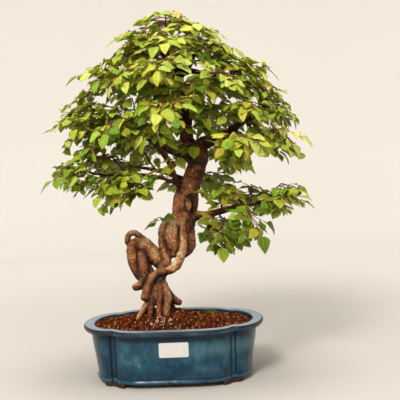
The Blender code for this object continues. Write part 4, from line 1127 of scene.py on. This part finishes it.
def strand_gaps(places, lines):
    """How far each place is from each strand's surface, and how many steps from its nearer end."""
    gaps, ends = [], []
    for points, radii in lines:
        knots = np.array([point[:] for point in points])
        far = np.linalg.norm(places[:, None] - knots, axis=2) - np.array(radii)
        nearest = far.argmin(axis=1)
        gaps.append(far.min(axis=1))
        ends.append(np.minimum(nearest, len(knots) - 1 - nearest))
    return np.stack(gaps, axis=1), np.stack(ends, axis=1)


def seams(gaps, ends):
    """0 to 1: how sharply two strands meet at each place."""
    order = np.argsort(gaps, axis=1)[:, :2]
    near = np.take_along_axis(gaps, order, 1)
    beside = np.clip(np.take_along_axis(ends, order, 1).min(axis=1) / SEAM_FADE, 0, 1)
    old = (order < len(CORE_ROUTES)).all(axis=1)
    return np.exp(-((near[:, 1] - near[:, 0]) / SEAM_WIDTH) ** 2) * beside * np.where(old, 1, BRANCH_SEAM)


def strand_bark(gaps):
    """Each place's light and red shares, blended between its nearest strands."""
    table = [STRAND_BARK.get(name, PLAIN_BARK if name in CORE_ROUTES else BRANCH_BARK) for name in ROUTES]
    weights = np.exp((gaps.min(axis=1, keepdims=True) - gaps) / STRAND_BLEND)
    return (weights @ np.array(table)) / weights.sum(axis=1, keepdims=True)


def fibre_map(lines):
    """A search tree of the wood's lines, with the direction and radius at each point."""
    samples = [sample for points, radii in lines for sample in zip(points, headings(points), radii)]
    tree = kdtree.KDTree(len(samples))
    for k, (point, _, _) in enumerate(samples):
        tree.insert(point, k)
    tree.balance()
    return tree, samples


def grain_at(place, tree, samples):
    """Mean direction of growth, and mean radius, near a place."""
    flow = Vector()
    total = weight = 0.0
    for _, k, far in tree.find_n(place, 5):
        _, direction, radius = samples[k]
        share = 1 / (1 + (far / radius) ** 4)
        flow += direction * share * (-1 if direction.dot(flow) < 0 else 1)
        total += radius * share
        weight += share
    return flow.normalized(), total / weight


def off_middle(place, middle, size):
    """How far a place is from the middle of an upright oval, whose edge is at 1."""
    return math.hypot((place - middle).xy.length / size[0], (place.z - middle.z) / size[1])


def make_wood(finish):
    """Roots, trunk and branches, with seams, flutes, an old wound and a burl, and painted light and shade
    in their bark.
    """
    heap = Heap()
    lines = [smooth_route(route, 6) for route in ROUTES.values()]
    for line in lines:
        heap.add(*tube(*rounded(*line), WOOD_SIDES))
    wood = grown(heap, finish)
    tree, samples = fibre_map(lines)
    mesh = wood.data
    normals = [vert.normal.copy() for vert in mesh.vertices]
    places = [(vert.co - SHIFT) / MM for vert in mesh.vertices]
    gaps, ends = strand_gaps(np.array([place[:] for place in places]), lines)
    seam = seams(gaps, ends)
    bark = strand_bark(gaps)
    # How close the next strand is, for painted shade between strands
    close = np.exp(-(np.partition(gaps, 1, axis=1)[:, 1].clip(0) / NEIGHBOUR_REACH) ** 2)
    marks = []
    for k, (place, normal) in enumerate(zip(places, normals)):
        flow, radius = grain_at(place, tree, samples)
        thick = min(radius / THICK_RADIUS, 1)
        drawn = place - flow * place.dot(flow) * FIBRE_STRETCH
        fibre = noise.noise(drawn / FIBRE_WIDTH + FIBRE_SHIFT)
        fibre += FINE_FIBRE_SHARE * noise.noise(drawn / FINE_FIBRE_WIDTH)
        fluting = noise.noise(drawn / FLUTE_WIDTH)
        lumps = noise.noise(place / LUMP_WIDTH)
        lumps += SMALL_LUMP_SHARE * noise.noise(place / SMALL_LUMP_WIDTH)
        push = (FIBRE_RISE * fibre + fluting + lumps) * thick
        push -= seam[k] * SEAM_DEPTH * min(thick * SEAM_THICKNESS, 1)
        far = off_middle(place, SCAR_PLACE, SCAR_SIZE)
        deep = max(0.0, 1 - far * far) ** SCAR_POWER
        plug = math.exp(-off_middle(place, PLUG_PLACE, PLUG_SIZE) ** 4) * (deep > 0)
        push += CALLUS_RISE * bump_at(far, *CALLUS_BAND) - deep * SCAR_DEPTH * (1 - PLUG_RISE * plug)
        push += BURL_RISE * math.exp(-BURL_FALL * ((place - BURL_PLACE).length / BURL_RADIUS) ** 2)
        mesh.vertices[k].co += normal * push * MM
        # Painted light and shade: lighter on upward faces, flute ridges and the knob's top, darker on
        # undersides, under the crown and beside other strands; the plug's paler wood is its own colour
        shade = min(max((place.z - CROWN_LOW) / CROWN_DUSK, 0), 1)
        light = bark[k, 0] + BARK_LIGHT + TOP_LIGHT * normal.z + FLUTE_LIGHT * fluting
        light -= CROWN_SHADE * shade + NEIGHBOUR_SHADE * close[k] + UNDER_SHADE * max(-normal.z, 0)
        light += KNOB_LIGHT * max(1 - ((place - KNOB_TOP).length / KNOB_REACH) ** 2, 0)
        light += PLUG_LIGHT * plug
        # The last share is painted shade in the wound's hollow, left off its plug
        marks.append((0.5 + 0.5 * fibre, light, min(deep * SCAR_SHADE, 1) * (1 - plug)))
    mesh.update()
    paint(wood, **dict(zip(("fibre", "light", "hollow"), zip(*marks))))
    # Painted shade in the creases and seams
    paint(wood, red=bark[:, 1], crease=np.maximum(creases(mesh) * CREASE_SHADE, seam * SEAM_SHADE))
    mesh.polygons.foreach_set("use_smooth", [True] * len(mesh.polygons))
    keep(wood, "bark", "trunk")


def creases(mesh):
    """How sunk each vertex lies among its neighbours, spread over a few millimetres, which sets the
    painted crease shade.
    """
    count = len(mesh.vertices)
    co = np.array([vert.co[:] for vert in mesh.vertices])
    normals = np.array([vert.normal[:] for vert in mesh.vertices])
    a, b = np.array([edge.vertices[:] for edge in mesh.edges]).T
    degree = np.bincount(a, minlength=count) + np.bincount(b, minlength=count)

    def spread(values):
        total = np.zeros_like(values)
        np.add.at(total, a, values[b])
        np.add.at(total, b, values[a])
        return total / degree.reshape(-1, *[1] * (values.ndim - 1))

    soft = co
    for _ in range(SOFTENING_ROUNDS):
        soft = (soft + spread(soft)) / 2
    sunk = np.einsum("ij,ij->i", soft - co, normals) / MM
    for _ in range(BLURRING_ROUNDS):
        sunk = (sunk + spread(sunk)) / 2
    return np.clip((sunk - SUNK_LEAST) / SUNK_RANGE, 0, 1)


class Frame:
    """A place with a direction of growth and an upper side."""

    def __init__(self, origin, direction, upper):
        self.origin = origin
        self.direction = direction.normalized()
        self.upper = (upper - self.direction * upper.dot(self.direction)).normalized()
        self.right = self.direction.cross(self.upper)

    def turned(self, origin, turn, rise, roll):
        """A frame at another place, turned to the left, raised and rolled by some degrees."""
        direction = Quaternion(self.upper, math.radians(turn)) @ self.direction
        lift = Quaternion(direction.cross(self.upper), math.radians(rise))
        direction = lift @ direction
        rolled = Quaternion(direction, math.radians(roll)) @ (lift @ self.upper)
        return Frame(origin, direction, rolled)

    def on_rib(self, place):
        """The frame at a distance along a rib that sinks under its leaves."""
        origin = self.origin + self.direction * place - self.upper * RIB_SAG * place * place
        return Frame(origin, self.direction - self.upper * (2 * RIB_SAG * place), self.upper)


class Leaf:
    """One leaf: where it sits on its rib, on which side, and how it lies."""

    def __init__(self, shoot_frame, place, side, draw, rises, rolls, sizes):
        self.place = place
        self.length = LEAF_LENGTH * draw.uniform(*sizes)
        on_rib = shoot_frame.on_rib(place)
        turn = side * (LEAF_ANGLE + draw.uniform(-LEAF_TURN, LEAF_TURN))
        start = on_rib.origin - on_rib.right * side * RIB_HALF_WIDTH
        self.frame = on_rib.turned(start, turn, draw.uniform(*rises), draw.uniform(-rolls, rolls))
        self.middle = start + self.frame.direction * self.length * LEAF_MIDDLE
        self.tip = start + self.frame.direction * self.length


class Shoot:
    """A rib with leaves on alternate sides and one at its tip."""

    def __init__(self, frame, count, draw, habit):
        self.frame = frame
        self.leaves = []
        side = draw.choice((-1, 1))
        place = FIRST_LEAF
        for k in range(count):
            self.leaves.append(Leaf(frame, place, 0 if k == count - 1 else side, draw, *habit))
            place += LEAF_PITCH * draw.uniform(*PITCH_RANGE)
            side = -side

    def line(self):
        """The rib's line, from the stem to its last leaf."""
        return [self.frame.on_rib(self.leaves[-1].place * k / 5).origin for k in range(6)]


def stem_line(branch, share, middle):
    """A spray's stem: from the branch, in a slight rise, to the middle of the spray."""
    start, heading = along(WOOD_LINES[branch], share)
    end = Vector(middle)
    bend = (start + end) / 2 + (UP * STEM_LIFT + heading * STEM_SWEEP) * (end - start).length
    steps = [step / STEM_STEPS for step in range(STEM_STEPS + 1)]
    return [start * (1 - t) ** 2 + bend * 2 * t * (1 - t) + end * t * t for t in steps]


def spray_plane(line, middle, tilt):
    """Heading and upper side of a spray: it faces up and away from the crown's axis."""
    away = Vector(middle) - CROWN_AXIS
    away.z = 0
    away.normalize()
    heading = line[-1] - line[0]
    heading.z = 0
    heading = heading.normalized() + away
    lean = math.radians(tilt)
    upper = UP * math.cos(lean) + away * math.sin(lean)
    return heading - upper * heading.dot(upper), upper


class Spray:
    """A stem with the shoots of the solid model, and finer ones between them."""

    def __init__(self, name, branch, share, middle, tilt, draw):
        self.name = name
        self.wide, self.flat = (APEX_TURN, APEX_RISE) if name == "apex" else (1, 1)
        self.line = stem_line(branch, share, middle)
        self.base = Frame(Vector(), *spray_plane(self.line, middle, tilt))
        self.shoots = []
        for place, turn, rise, leaves in SHOOTS:
            turn = (turn + draw.uniform(-SHOOT_TURN, SHOOT_TURN)) * self.wide
            rise += draw.uniform(-SHOOT_RISE, SHOOT_RISE)
            roll = draw.uniform(-SHOOT_ROLL, SHOOT_ROLL)
            self.grow(place, turn, rise, roll, leaves, draw, LEAF_HABIT)

    def grow(self, place, turn, rise, roll, leaves, draw, habit):
        """One more shoot from a share of the stem beyond its seat."""
        origin = along(self.line, SEAT_SHARE + (1 - SEAT_SHARE) * place)[0]
        frame = self.base.turned(origin, turn, rise, roll)
        self.shoots.append(Shoot(frame, leaves, draw, habit))

    def thicken(self, draw):
        """More shoots, above and below the plane of the first ones."""
        for place, turn, rise, leaves in EXTRA_SHOOTS:
            turn = (turn + draw.uniform(-EXTRA_TURN, EXTRA_TURN)) * self.wide
            rise = (rise + draw.uniform(-EXTRA_RISE, EXTRA_RISE)) * self.flat
            place += draw.uniform(*EXTRA_SHIFT)
            roll = draw.uniform(-EXTRA_ROLL, EXTRA_ROLL)
            self.grow(place, turn, rise, roll, leaves, draw, YOUNG_HABIT)


def pixel_of(place):
    """Where a place shows in the photo."""
    sight = VIEW_TURN.transposed() @ (place - CAMERA_PLACE)
    scale = LENS / SENSOR_WIDTH * 2 * PHOTO_MIDDLE / -sight.z
    return PHOTO_MIDDLE + sight.x * scale, PHOTO_MIDDLE - sight.y * scale


def within(x, y, outline):
    inside = False
    for (x0, y0), (x1, y1) in zip(outline, outline[1:] + outline[:1]):
        if (y0 > y) != (y1 > y) and x < x0 + (y - y0) / (y1 - y0) * (x1 - x0):
            inside = not inside
    return inside


def pixels_off(x, y, line):
    """How far a pixel is from a line of pixels."""
    place, nearest = Vector((x, y)), math.inf
    for start, end in zip(map(Vector, line), map(Vector, line[1:])):
        share = (place - start).dot(end - start) / (end - start).length_squared
        nearest = min(nearest, (place - start.lerp(end, min(max(share, 0), 1))).length)
    return nearest


def shows_well(leaf):
    """Whether a leaf keeps to the photo's outline, off its open places and off the wood that shows."""
    if not all(within(*pixel_of(place), CROWN_OUTLINE) for place in (leaf.middle, leaf.tip)):
        return False
    x, y = pixel_of(leaf.middle)
    near_wood = any(pixels_off(x, y, line) < VISIBLE_REACH for line in VISIBLE_WOOD)
    if leaf.middle.y < VISIBLE_DEPTH and near_wood:
        return False
    return all(((x - px) / wide) ** 2 + ((y - py) / high) ** 2 > 1 for px, py, wide, high in OPEN_PLACES)


def leaf_template():
    """A unit leaf: places (out, across, face) and triangles of a thin closed body with a toothed edge."""
    places, triangles = {}, []

    def point(out, across, face):
        return places.setdefault((out, across, face), len(places))

    def edge_point(step, side):
        tooth = step % 2
        width = (TOOTH_WIDTH if tooth else NOTCH_WIDTH) if step else 1
        return point((step + TOOTH_LEAN * tooth) / (2 * LEAF_TEETH), side * width, 0)

    tip = [point(1, 0, 0)]
    for face, side in product((1, -1), repeat=2):
        mid = [point(row / LEAF_TEETH, 0, face) for row in range(LEAF_TEETH)] + tip
        half = [point(row / LEAF_TEETH, HALFWAY * side, face) for row in range(1, LEAF_TEETH)]
        half = mid[:1] + half + tip
        edge = [edge_point(step, side) for step in range(2 * LEAF_TEETH)] + tip
        stalk, stalk_edge = point(-1, 0, face), point(-1, side, 0)
        found = [(stalk, stalk_edge, edge[0]), (stalk, edge[0], mid[0])]
        if side == face:
            found.append((stalk, point(-1, -side, 0), stalk_edge))
        for row in range(LEAF_TEETH):
            notch, tooth, next_notch = edge[2 * row:2 * row + 3]
            low, high = half[row:row + 2]
            found += [(mid[row], low, high), (mid[row], high, mid[row + 1])]
            found += [(low, notch, tooth), (low, tooth, high), (high, tooth, next_notch)]
        triangles += [t[::face * side] for t in found if len(set(t)) == 3]
    return np.array(list(places), dtype=float), np.array(triangles)


def leaf_points(leaf, draw):
    """The template bent, folded and waved into one leaf."""
    out, across, face = TEMPLATE.T
    stalk = out < 0
    out = np.where(stalk, 0, out)
    length = leaf.length
    half = LEAF_HALF_WIDTH * length / LEAF_LENGTH * draw.uniform(*LEAF_WIDTHS)
    width = half * LEAF_FULLNESS * out ** LEAF_BASE_POWER * (1 - out) ** LEAF_TIP_POWER
    width = np.maximum(width, np.where(out < 0.05, STALK_HALF_WIDTH, 0))
    side = across * width
    bend = draw.uniform(*LEAF_BENDS)
    fold = math.tan(math.radians(draw.uniform(*LEAF_FOLDS)))
    wave = draw.uniform(*LEAF_WAVES)
    phase = draw.uniform(0, 6.3)
    curl = draw.uniform(*LEAF_CURLS)
    ahead = length * np.sin(bend * out) / bend
    rise = -length * (1 - np.cos(bend * out)) / bend
    rise = rise + np.abs(side) * fold - curl * side * side
    turns = WAVE_TURNS * out + phase + np.sign(across) * WAVE_OFFSET
    rise = rise + wave * np.sin(turns) * np.abs(across) * (width / half)
    thin = 0.5 * LEAF_THICKNESS * (1 - EDGE_THINNING * np.abs(across))
    rise = rise + face * np.where(stalk | (out == 0), STALK_HALF_WIDTH, thin)
    ahead = np.where(stalk, -PETIOLE_LENGTH, ahead) + PETIOLE_LENGTH
    axes = np.array([leaf.frame.direction[:], leaf.frame.right[:], leaf.frame.upper[:]])
    return np.array(leaf.frame.origin[:]) + np.stack([ahead, side, rise], axis=1) @ axes


def leaf_tone(leaf, draw):
    """0 for a dark inner leaf, 1 for a bright one at the top or the outside: painted light and shade by
    place in the crown, with a random spread.
    """
    far = Vector([a / b for a, b in zip(leaf.middle - CROWN_MIDDLE, CROWN_REACH)])
    high = TOP_GAIN * max(far.z, 0) + LOW_LOSS * min(far.z, 0) + UNDER_LOSS * min(far.z + UNDER_LINE, 0)
    side = SIDE_GAIN * abs(far.x) + RIGHT_GAIN * max(far.x, 0)
    outer = OUTER_GAIN * min(far.length, OUTER_REACH) ** 2
    tone = LEAF_TONE + outer + high + side + draw.gauss(0, TONE_SPREAD)
    return min(max(tone, DARKEST_LEAF), BRIGHTEST_LEAF)


def make_leaves(name, leaves, finish, draw):
    """One mesh of closed leaves."""
    out, across, face = TEMPLATE.T
    even = np.ones(len(TEMPLATE))
    verts, places, tints, faces = [], [], [], []
    for k, leaf in enumerate(leaves):
        verts.append(leaf_points(leaf, draw))
        tone = leaf_tone(leaf, draw)
        warm = draw.uniform(*WARM_TINTS) if draw.random() < WARM_SHARE else 0.0
        cool = min(max(draw.gauss(*COOL_TINT), 0), COOL_MOST) * (COOL_FALL - tone)
        places.append(np.stack([out.clip(0), across, even * tone], axis=1))
        tints.append(np.stack([even * warm, face < 0, even * cool], axis=1))
        faces.append(TEMPLATE_FACES + k * len(TEMPLATE))
    thing = piece(name, np.concatenate(verts), np.concatenate(faces).tolist(), finish)
    paint(thing, leaf_place=np.concatenate(places), leaf_tint=np.concatenate(tints))
    return thing


class Spacing:
    """Remembers where leaves are, and says whether another one has room."""

    def __init__(self, gap):
        self.gap = gap
        self.cells = {}

    def cell(self, place):
        return tuple(math.floor(c / self.gap) for c in place)

    def add(self, place):
        self.cells.setdefault(self.cell(place), []).append(place)

    def takes(self, place):
        """Adds a leaf if it has room, and says whether it did."""
        near = product(*[(c - 1, c, c + 1) for c in self.cell(place)])
        others = [other for cell in near for other in self.cells.get(cell, ())]
        room = all((other - place).length >= self.gap for other in others)
        if room:
            self.add(place)
        return room


def kinked(points, draw, amount):
    """A twig's line with small bends at its joints."""
    bends = [point + Vector([draw.uniform(-amount, amount) for _ in range(3)]) for point in points[1:-1]]
    return [points[0], *bends, points[-1]]


def make_twigs(sprays, finish):
    """Stems and ribs, with buds where leaves sit. The mark says how young a twig is."""
    draw = random.Random(TWIG_SEED)
    heap = Heap()
    for spray in sprays:
        line = kinked(spray.line, draw, STEM_KINK)
        taper = (STEM_TIP_RADIUS - STEM_RADIUS) / STEM_STEPS
        radii = [STEM_RADIUS * STEM_SLIMNESS + taper * k for k in range(len(line))]
        heap.add(*tube(line, radii, STEM_SIDES), STEM_YOUTH)
        for shoot in spray.shoots:
            line = kinked(shoot.line(), draw, RIB_KINK)
            radii = [RIB_RADIUS - RIB_TAPER * k for k in range(len(line))]
            heap.add(*tube(line, radii, RIB_SIDES), RIB_YOUTH)
            for leaf in shoot.leaves:
                start = leaf.frame.origin
                bud = start + (leaf.frame.direction + UP * BUD_LIFT) * draw.uniform(*BUD_LENGTHS)
                radii = [BUD_START, draw.uniform(*BUD_RADII), BUD_TIP]
                heap.add(*tube([start, start.lerp(bud, 0.5), bud], radii, BUD_SIDES), 1.0)
    twigs = piece("twigs", heap.verts, heap.faces, finish)
    paint(twigs, young=heap.marks)
    keep(twigs, "bark")


def make_crown(green, brown):
    """Every spray's leaves, with the solid model's order and draws, and more between them."""
    draw = random.Random(SPRAY_SEED)
    extra = random.Random(EXTRA_SEED)
    sprays = [Spray(*row, draw) for row in SPRAYS]
    spacing = Spacing(LEAF_SPACING)
    for leaf in [leaf for spray in sprays for shoot in spray.shoots for leaf in shoot.leaves]:
        spacing.add(leaf.middle)
    fills = [Spray(*row, extra) for row in FILLS]
    for spray in sprays + fills:
        solid = len(spray.shoots) if spray in sprays else 0
        few = SMALL_FILLS.get(spray.name)
        if not few:
            spray.thicken(extra)
        for shoot in spray.shoots[solid:]:
            some = [leaf for leaf in shoot.leaves[:few] if few or shows_well(leaf)]
            shoot.leaves = [leaf for leaf in some if spacing.takes(leaf.middle)]
        spray.shoots = [shoot for shoot in spray.shoots if shoot.leaves]
    for spray in sprays + fills:
        leaves = [leaf for shoot in spray.shoots for leaf in shoot.leaves]
        thing = make_leaves("leaves_" + spray.name, leaves, green, extra)
        nodes = ["spray_" + spray.name] if spray in sprays else []
        keep(thing, "foliage", *nodes)
    make_twigs(sprays + fills, brown)


def grain_shape():
    """Corners and faces of a unit icosahedron."""
    work = bmesh.new()
    bmesh.ops.create_icosphere(work, subdivisions=1, radius=1)
    verts = [vert.co.copy() for vert in work.verts]
    faces = [tuple(vert.index for vert in face.verts) for face in work.faces]
    work.free()
    return verts, faces


def add_grain(heap, shape, place, radius, tone, draw):
    """One angular grain, turned and squeezed at random, with its tone as the mark."""
    axis = Vector([draw.gauss(0, 1) for _ in range(3)]).normalized()
    turn = Quaternion(axis, draw.uniform(0, 6.28))
    squeeze = Vector([draw.uniform(*GRAIN_SQUEEZE) for _ in range(3)])
    corners = [vert * squeeze * draw.uniform(*CORNER_RANGE) for vert in shape[0]]
    heap.add([place + turn @ corner * radius for corner in corners], shape[1], tone)


def surface_below(tree, x, y):
    """The point of the soil under a place seen from above."""
    hit = tree.ray_cast((Vector((x, y, 200)) * MM) + SHIFT, -UP)[0]
    return None if hit is None else (hit - SHIFT) / MM


def node_tree(name):
    """A search tree of a node's mesh."""
    mesh = frame["nodes"][name].data
    return BVHTree.FromPolygons([v.co for v in mesh.vertices], [p.vertices for p in mesh.polygons])


def make_grains(finish):
    """Two layers of grains on the soil, a few white granules and one pale pebble."""
    draw = random.Random(GRAIN_SEED)
    soil, wood = node_tree("soil"), node_tree("trunk")
    shape = grain_shape()
    heap = Heap()
    half_x, half_y = POT_LENGTH / 2 - SOIL_INSET, POT_DEPTH / 2 - SOIL_INSET
    for layer, (spacing, size) in enumerate(GRAIN_LAYERS):
        rows, columns = (int(2 * half / spacing) + 1 for half in (half_y, half_x))
        for row, column in product(range(rows), range(columns)):
            x = -half_x + column * spacing + draw.uniform(-GRAIN_STRAY, GRAIN_STRAY) * spacing
            y = -half_y + row * spacing + draw.uniform(-GRAIN_STRAY, GRAIN_STRAY) * spacing
            place = surface_below(soil, x, y)
            radius = size * draw.uniform(*GRAIN_SIZES)
            if place is None or place.z < SOIL_LOW:
                continue
            place.z += radius * draw.uniform(*GRAIN_LIFT) + layer * LAYER_RISE
            near = wood.find_nearest(place * MM + SHIFT)[3]
            if near is not None and near < radius * GRAIN_ROOM * MM:
                continue
            tone = min(max(draw.gauss(*GRAIN_TONE), DARKEST_GRAIN), BRIGHTEST_GRAIN)
            if draw.random() < PALE_GRAINS:
                tone = draw.uniform(*PALE_TONES)
            add_grain(heap, shape, place, radius, tone, draw)
    for _ in range(GRANULES):
        x = GRANULES_PLACE.x + draw.gauss(0, GRANULES_SPREAD.x)
        place = surface_below(soil, x, GRANULES_PLACE.y + draw.gauss(0, GRANULES_SPREAD.y))
        if place is not None:
            radius = draw.uniform(*GRANULE_RADII)
            add_grain(heap, shape, place + UP * GRANULE_LIFT, radius, draw.uniform(*GRANULE_TONES), draw)
    place = surface_below(soil, *PEBBLE_PLACE)
    add_grain(heap, shape, place + UP * PEBBLE_LIFT, PEBBLE_RADIUS, PEBBLE_TONE, draw)
    grains = piece("soil_grains", heap.verts, heap.faces, finish, smooth=False)
    paint(grains, tone=heap.marks)
    keep(grains, "grains")


def make_moss(finish):
    """A small cushion of moss at the back of the pot."""
    draw = random.Random(MOSS_SEED)
    soil = node_tree("soil")
    heap = Heap()
    for _ in range(MOSS_STRANDS):
        angle, far = draw.uniform(0, 6.28), abs(draw.gauss(0, MOSS_SPREAD))
        x = MOSS_PLACE.x + MOSS_REACH.x * far * math.cos(angle)
        place = surface_below(soil, x, MOSS_PLACE.y + MOSS_REACH.y * far * math.sin(angle))
        if place is None or place.z < SOIL_LOW:
            continue
        side = draw.uniform(-MOSS_LEAN, MOSS_LEAN)
        lean = Vector((side, draw.uniform(-MOSS_LEAN, MOSS_LEAN), 1)).normalized()
        tip = place + UP * 1.8 + lean * draw.uniform(*MOSS_LENGTHS) * (1.2 - min(far, 1) * 0.6)
        heap.add(*tube([place + UP * 0.5, place.lerp(tip, 0.6), tip], MOSS_RADII, 4))
    keep(piece("moss", heap.verts, heap.faces, finish), "foliage")


def make_stage(finish):
    """A round studio cove: flat floor, curved edge and wall."""
    profile = [(BACKDROP_RADIUS * k / 6, 0) for k in range(1, 7)]
    for step in range(1, CURVE_STEPS + 1):
        angle = math.pi / 2 * step / CURVE_STEPS
        out = BACKDROP_RADIUS + BACKDROP_CURVE * math.sin(angle)
        profile.append((out, BACKDROP_CURVE * (1 - math.cos(angle))))
    profile.append((BACKDROP_RADIUS + BACKDROP_CURVE, BACKDROP_HEIGHT))
    turns = circle(BACKDROP_SIDES)
    verts = [(out * math.cos(a), out * math.sin(a), height) for out, height in profile for a in turns]
    faces = [face[::-1] for face in skin(len(profile), BACKDROP_SIDES)[:-1]]
    piece("studio_cove", verts, faces, finish)


def add_light(name, place, aim, size, power, colour):
    light = bpy.data.lights.new(name, "AREA")
    light.shape = "DISK"
    light.size = size
    light.energy = power
    light.color = colour
    lamp = linked(name, light)
    lamp.location = Vector(place) * MM + SHIFT
    direction = (Vector(aim) - Vector(place)).normalized()
    lamp.rotation_euler = direction.to_track_quat("-Z", "Y").to_euler()
    lamp.visible_camera = False


def make_lights():
    add_light("key", (-550, -1500, 1500), (0, 0, 280), size=0.6, power=46, colour=(1.0, 0.97, 0.93))
    add_light("top", (100, -100, 2400), (0, 0, 250), size=1.2, power=35, colour=(1.0, 0.98, 0.96))
    world = bpy.data.worlds.new("studio")
    world.use_nodes = True
    background = world.node_tree.nodes["Background"]
    background.inputs["Color"].default_value = ROOM_COLOUR
    background.inputs["Strength"].default_value = ROOM_LIGHT
    bpy.context.scene.world = world


def plain_view():
    """Show colours as they are, with no film curve."""
    view = bpy.context.scene.view_settings
    view.view_transform = "Standard"
    view.look = "None"


def make_camera():
    data = bpy.data.cameras.new("camera")
    data.lens = LENS
    data.sensor_width = SENSOR_WIDTH
    data.clip_start = 0.01
    camera = linked("camera", data)
    camera.matrix_world = Matrix.Translation(CAMERA_PLACE * MM + SHIFT) @ VIEW_TURN.to_4x4()
    bpy.context.scene.camera = camera


def dress_node(name, finish):
    """Give a CAD node that stays a finer finish."""
    for slot in frame["nodes"][name].material_slots:
        slot.material = finish


ROUTES = {**CORE_ROUTES, **BRANCH_ROUTES}
WOOD_LINES = {name: smooth_route(route, 2)[0] for name, route in ROUTES.items()}
TEMPLATE, TEMPLATE_FACES = leaf_template()

plain_view()
make_camera()
make_lights()
make_stage(stage_finish())
glaze = glaze_finish()
make_pot(glaze)
make_feet(glaze)
make_label(plain_finish("sticker_paper", (2600, 3.0, 0.6), 0.02, *PAPER_COLOURS, 0.5, 0.4))
make_wood(bark_finish())
make_crown(leaf_finish(), twig_finish())
make_grains(grain_finish())
make_moss(plain_finish("moss", (900, 3.0, 0.6), 0.5, *MOSS_COLOURS, 0.9, 0.1))
dress_node("soil", soil_finish())
mesh_plastic = plain_finish("mesh_plastic", (1500, 2.0, 0.5), 0.05, *PLASTIC_COLOURS, 0.5)
for screen in ("screen_left", "screen_right"):
    dress_node(screen, mesh_plastic)
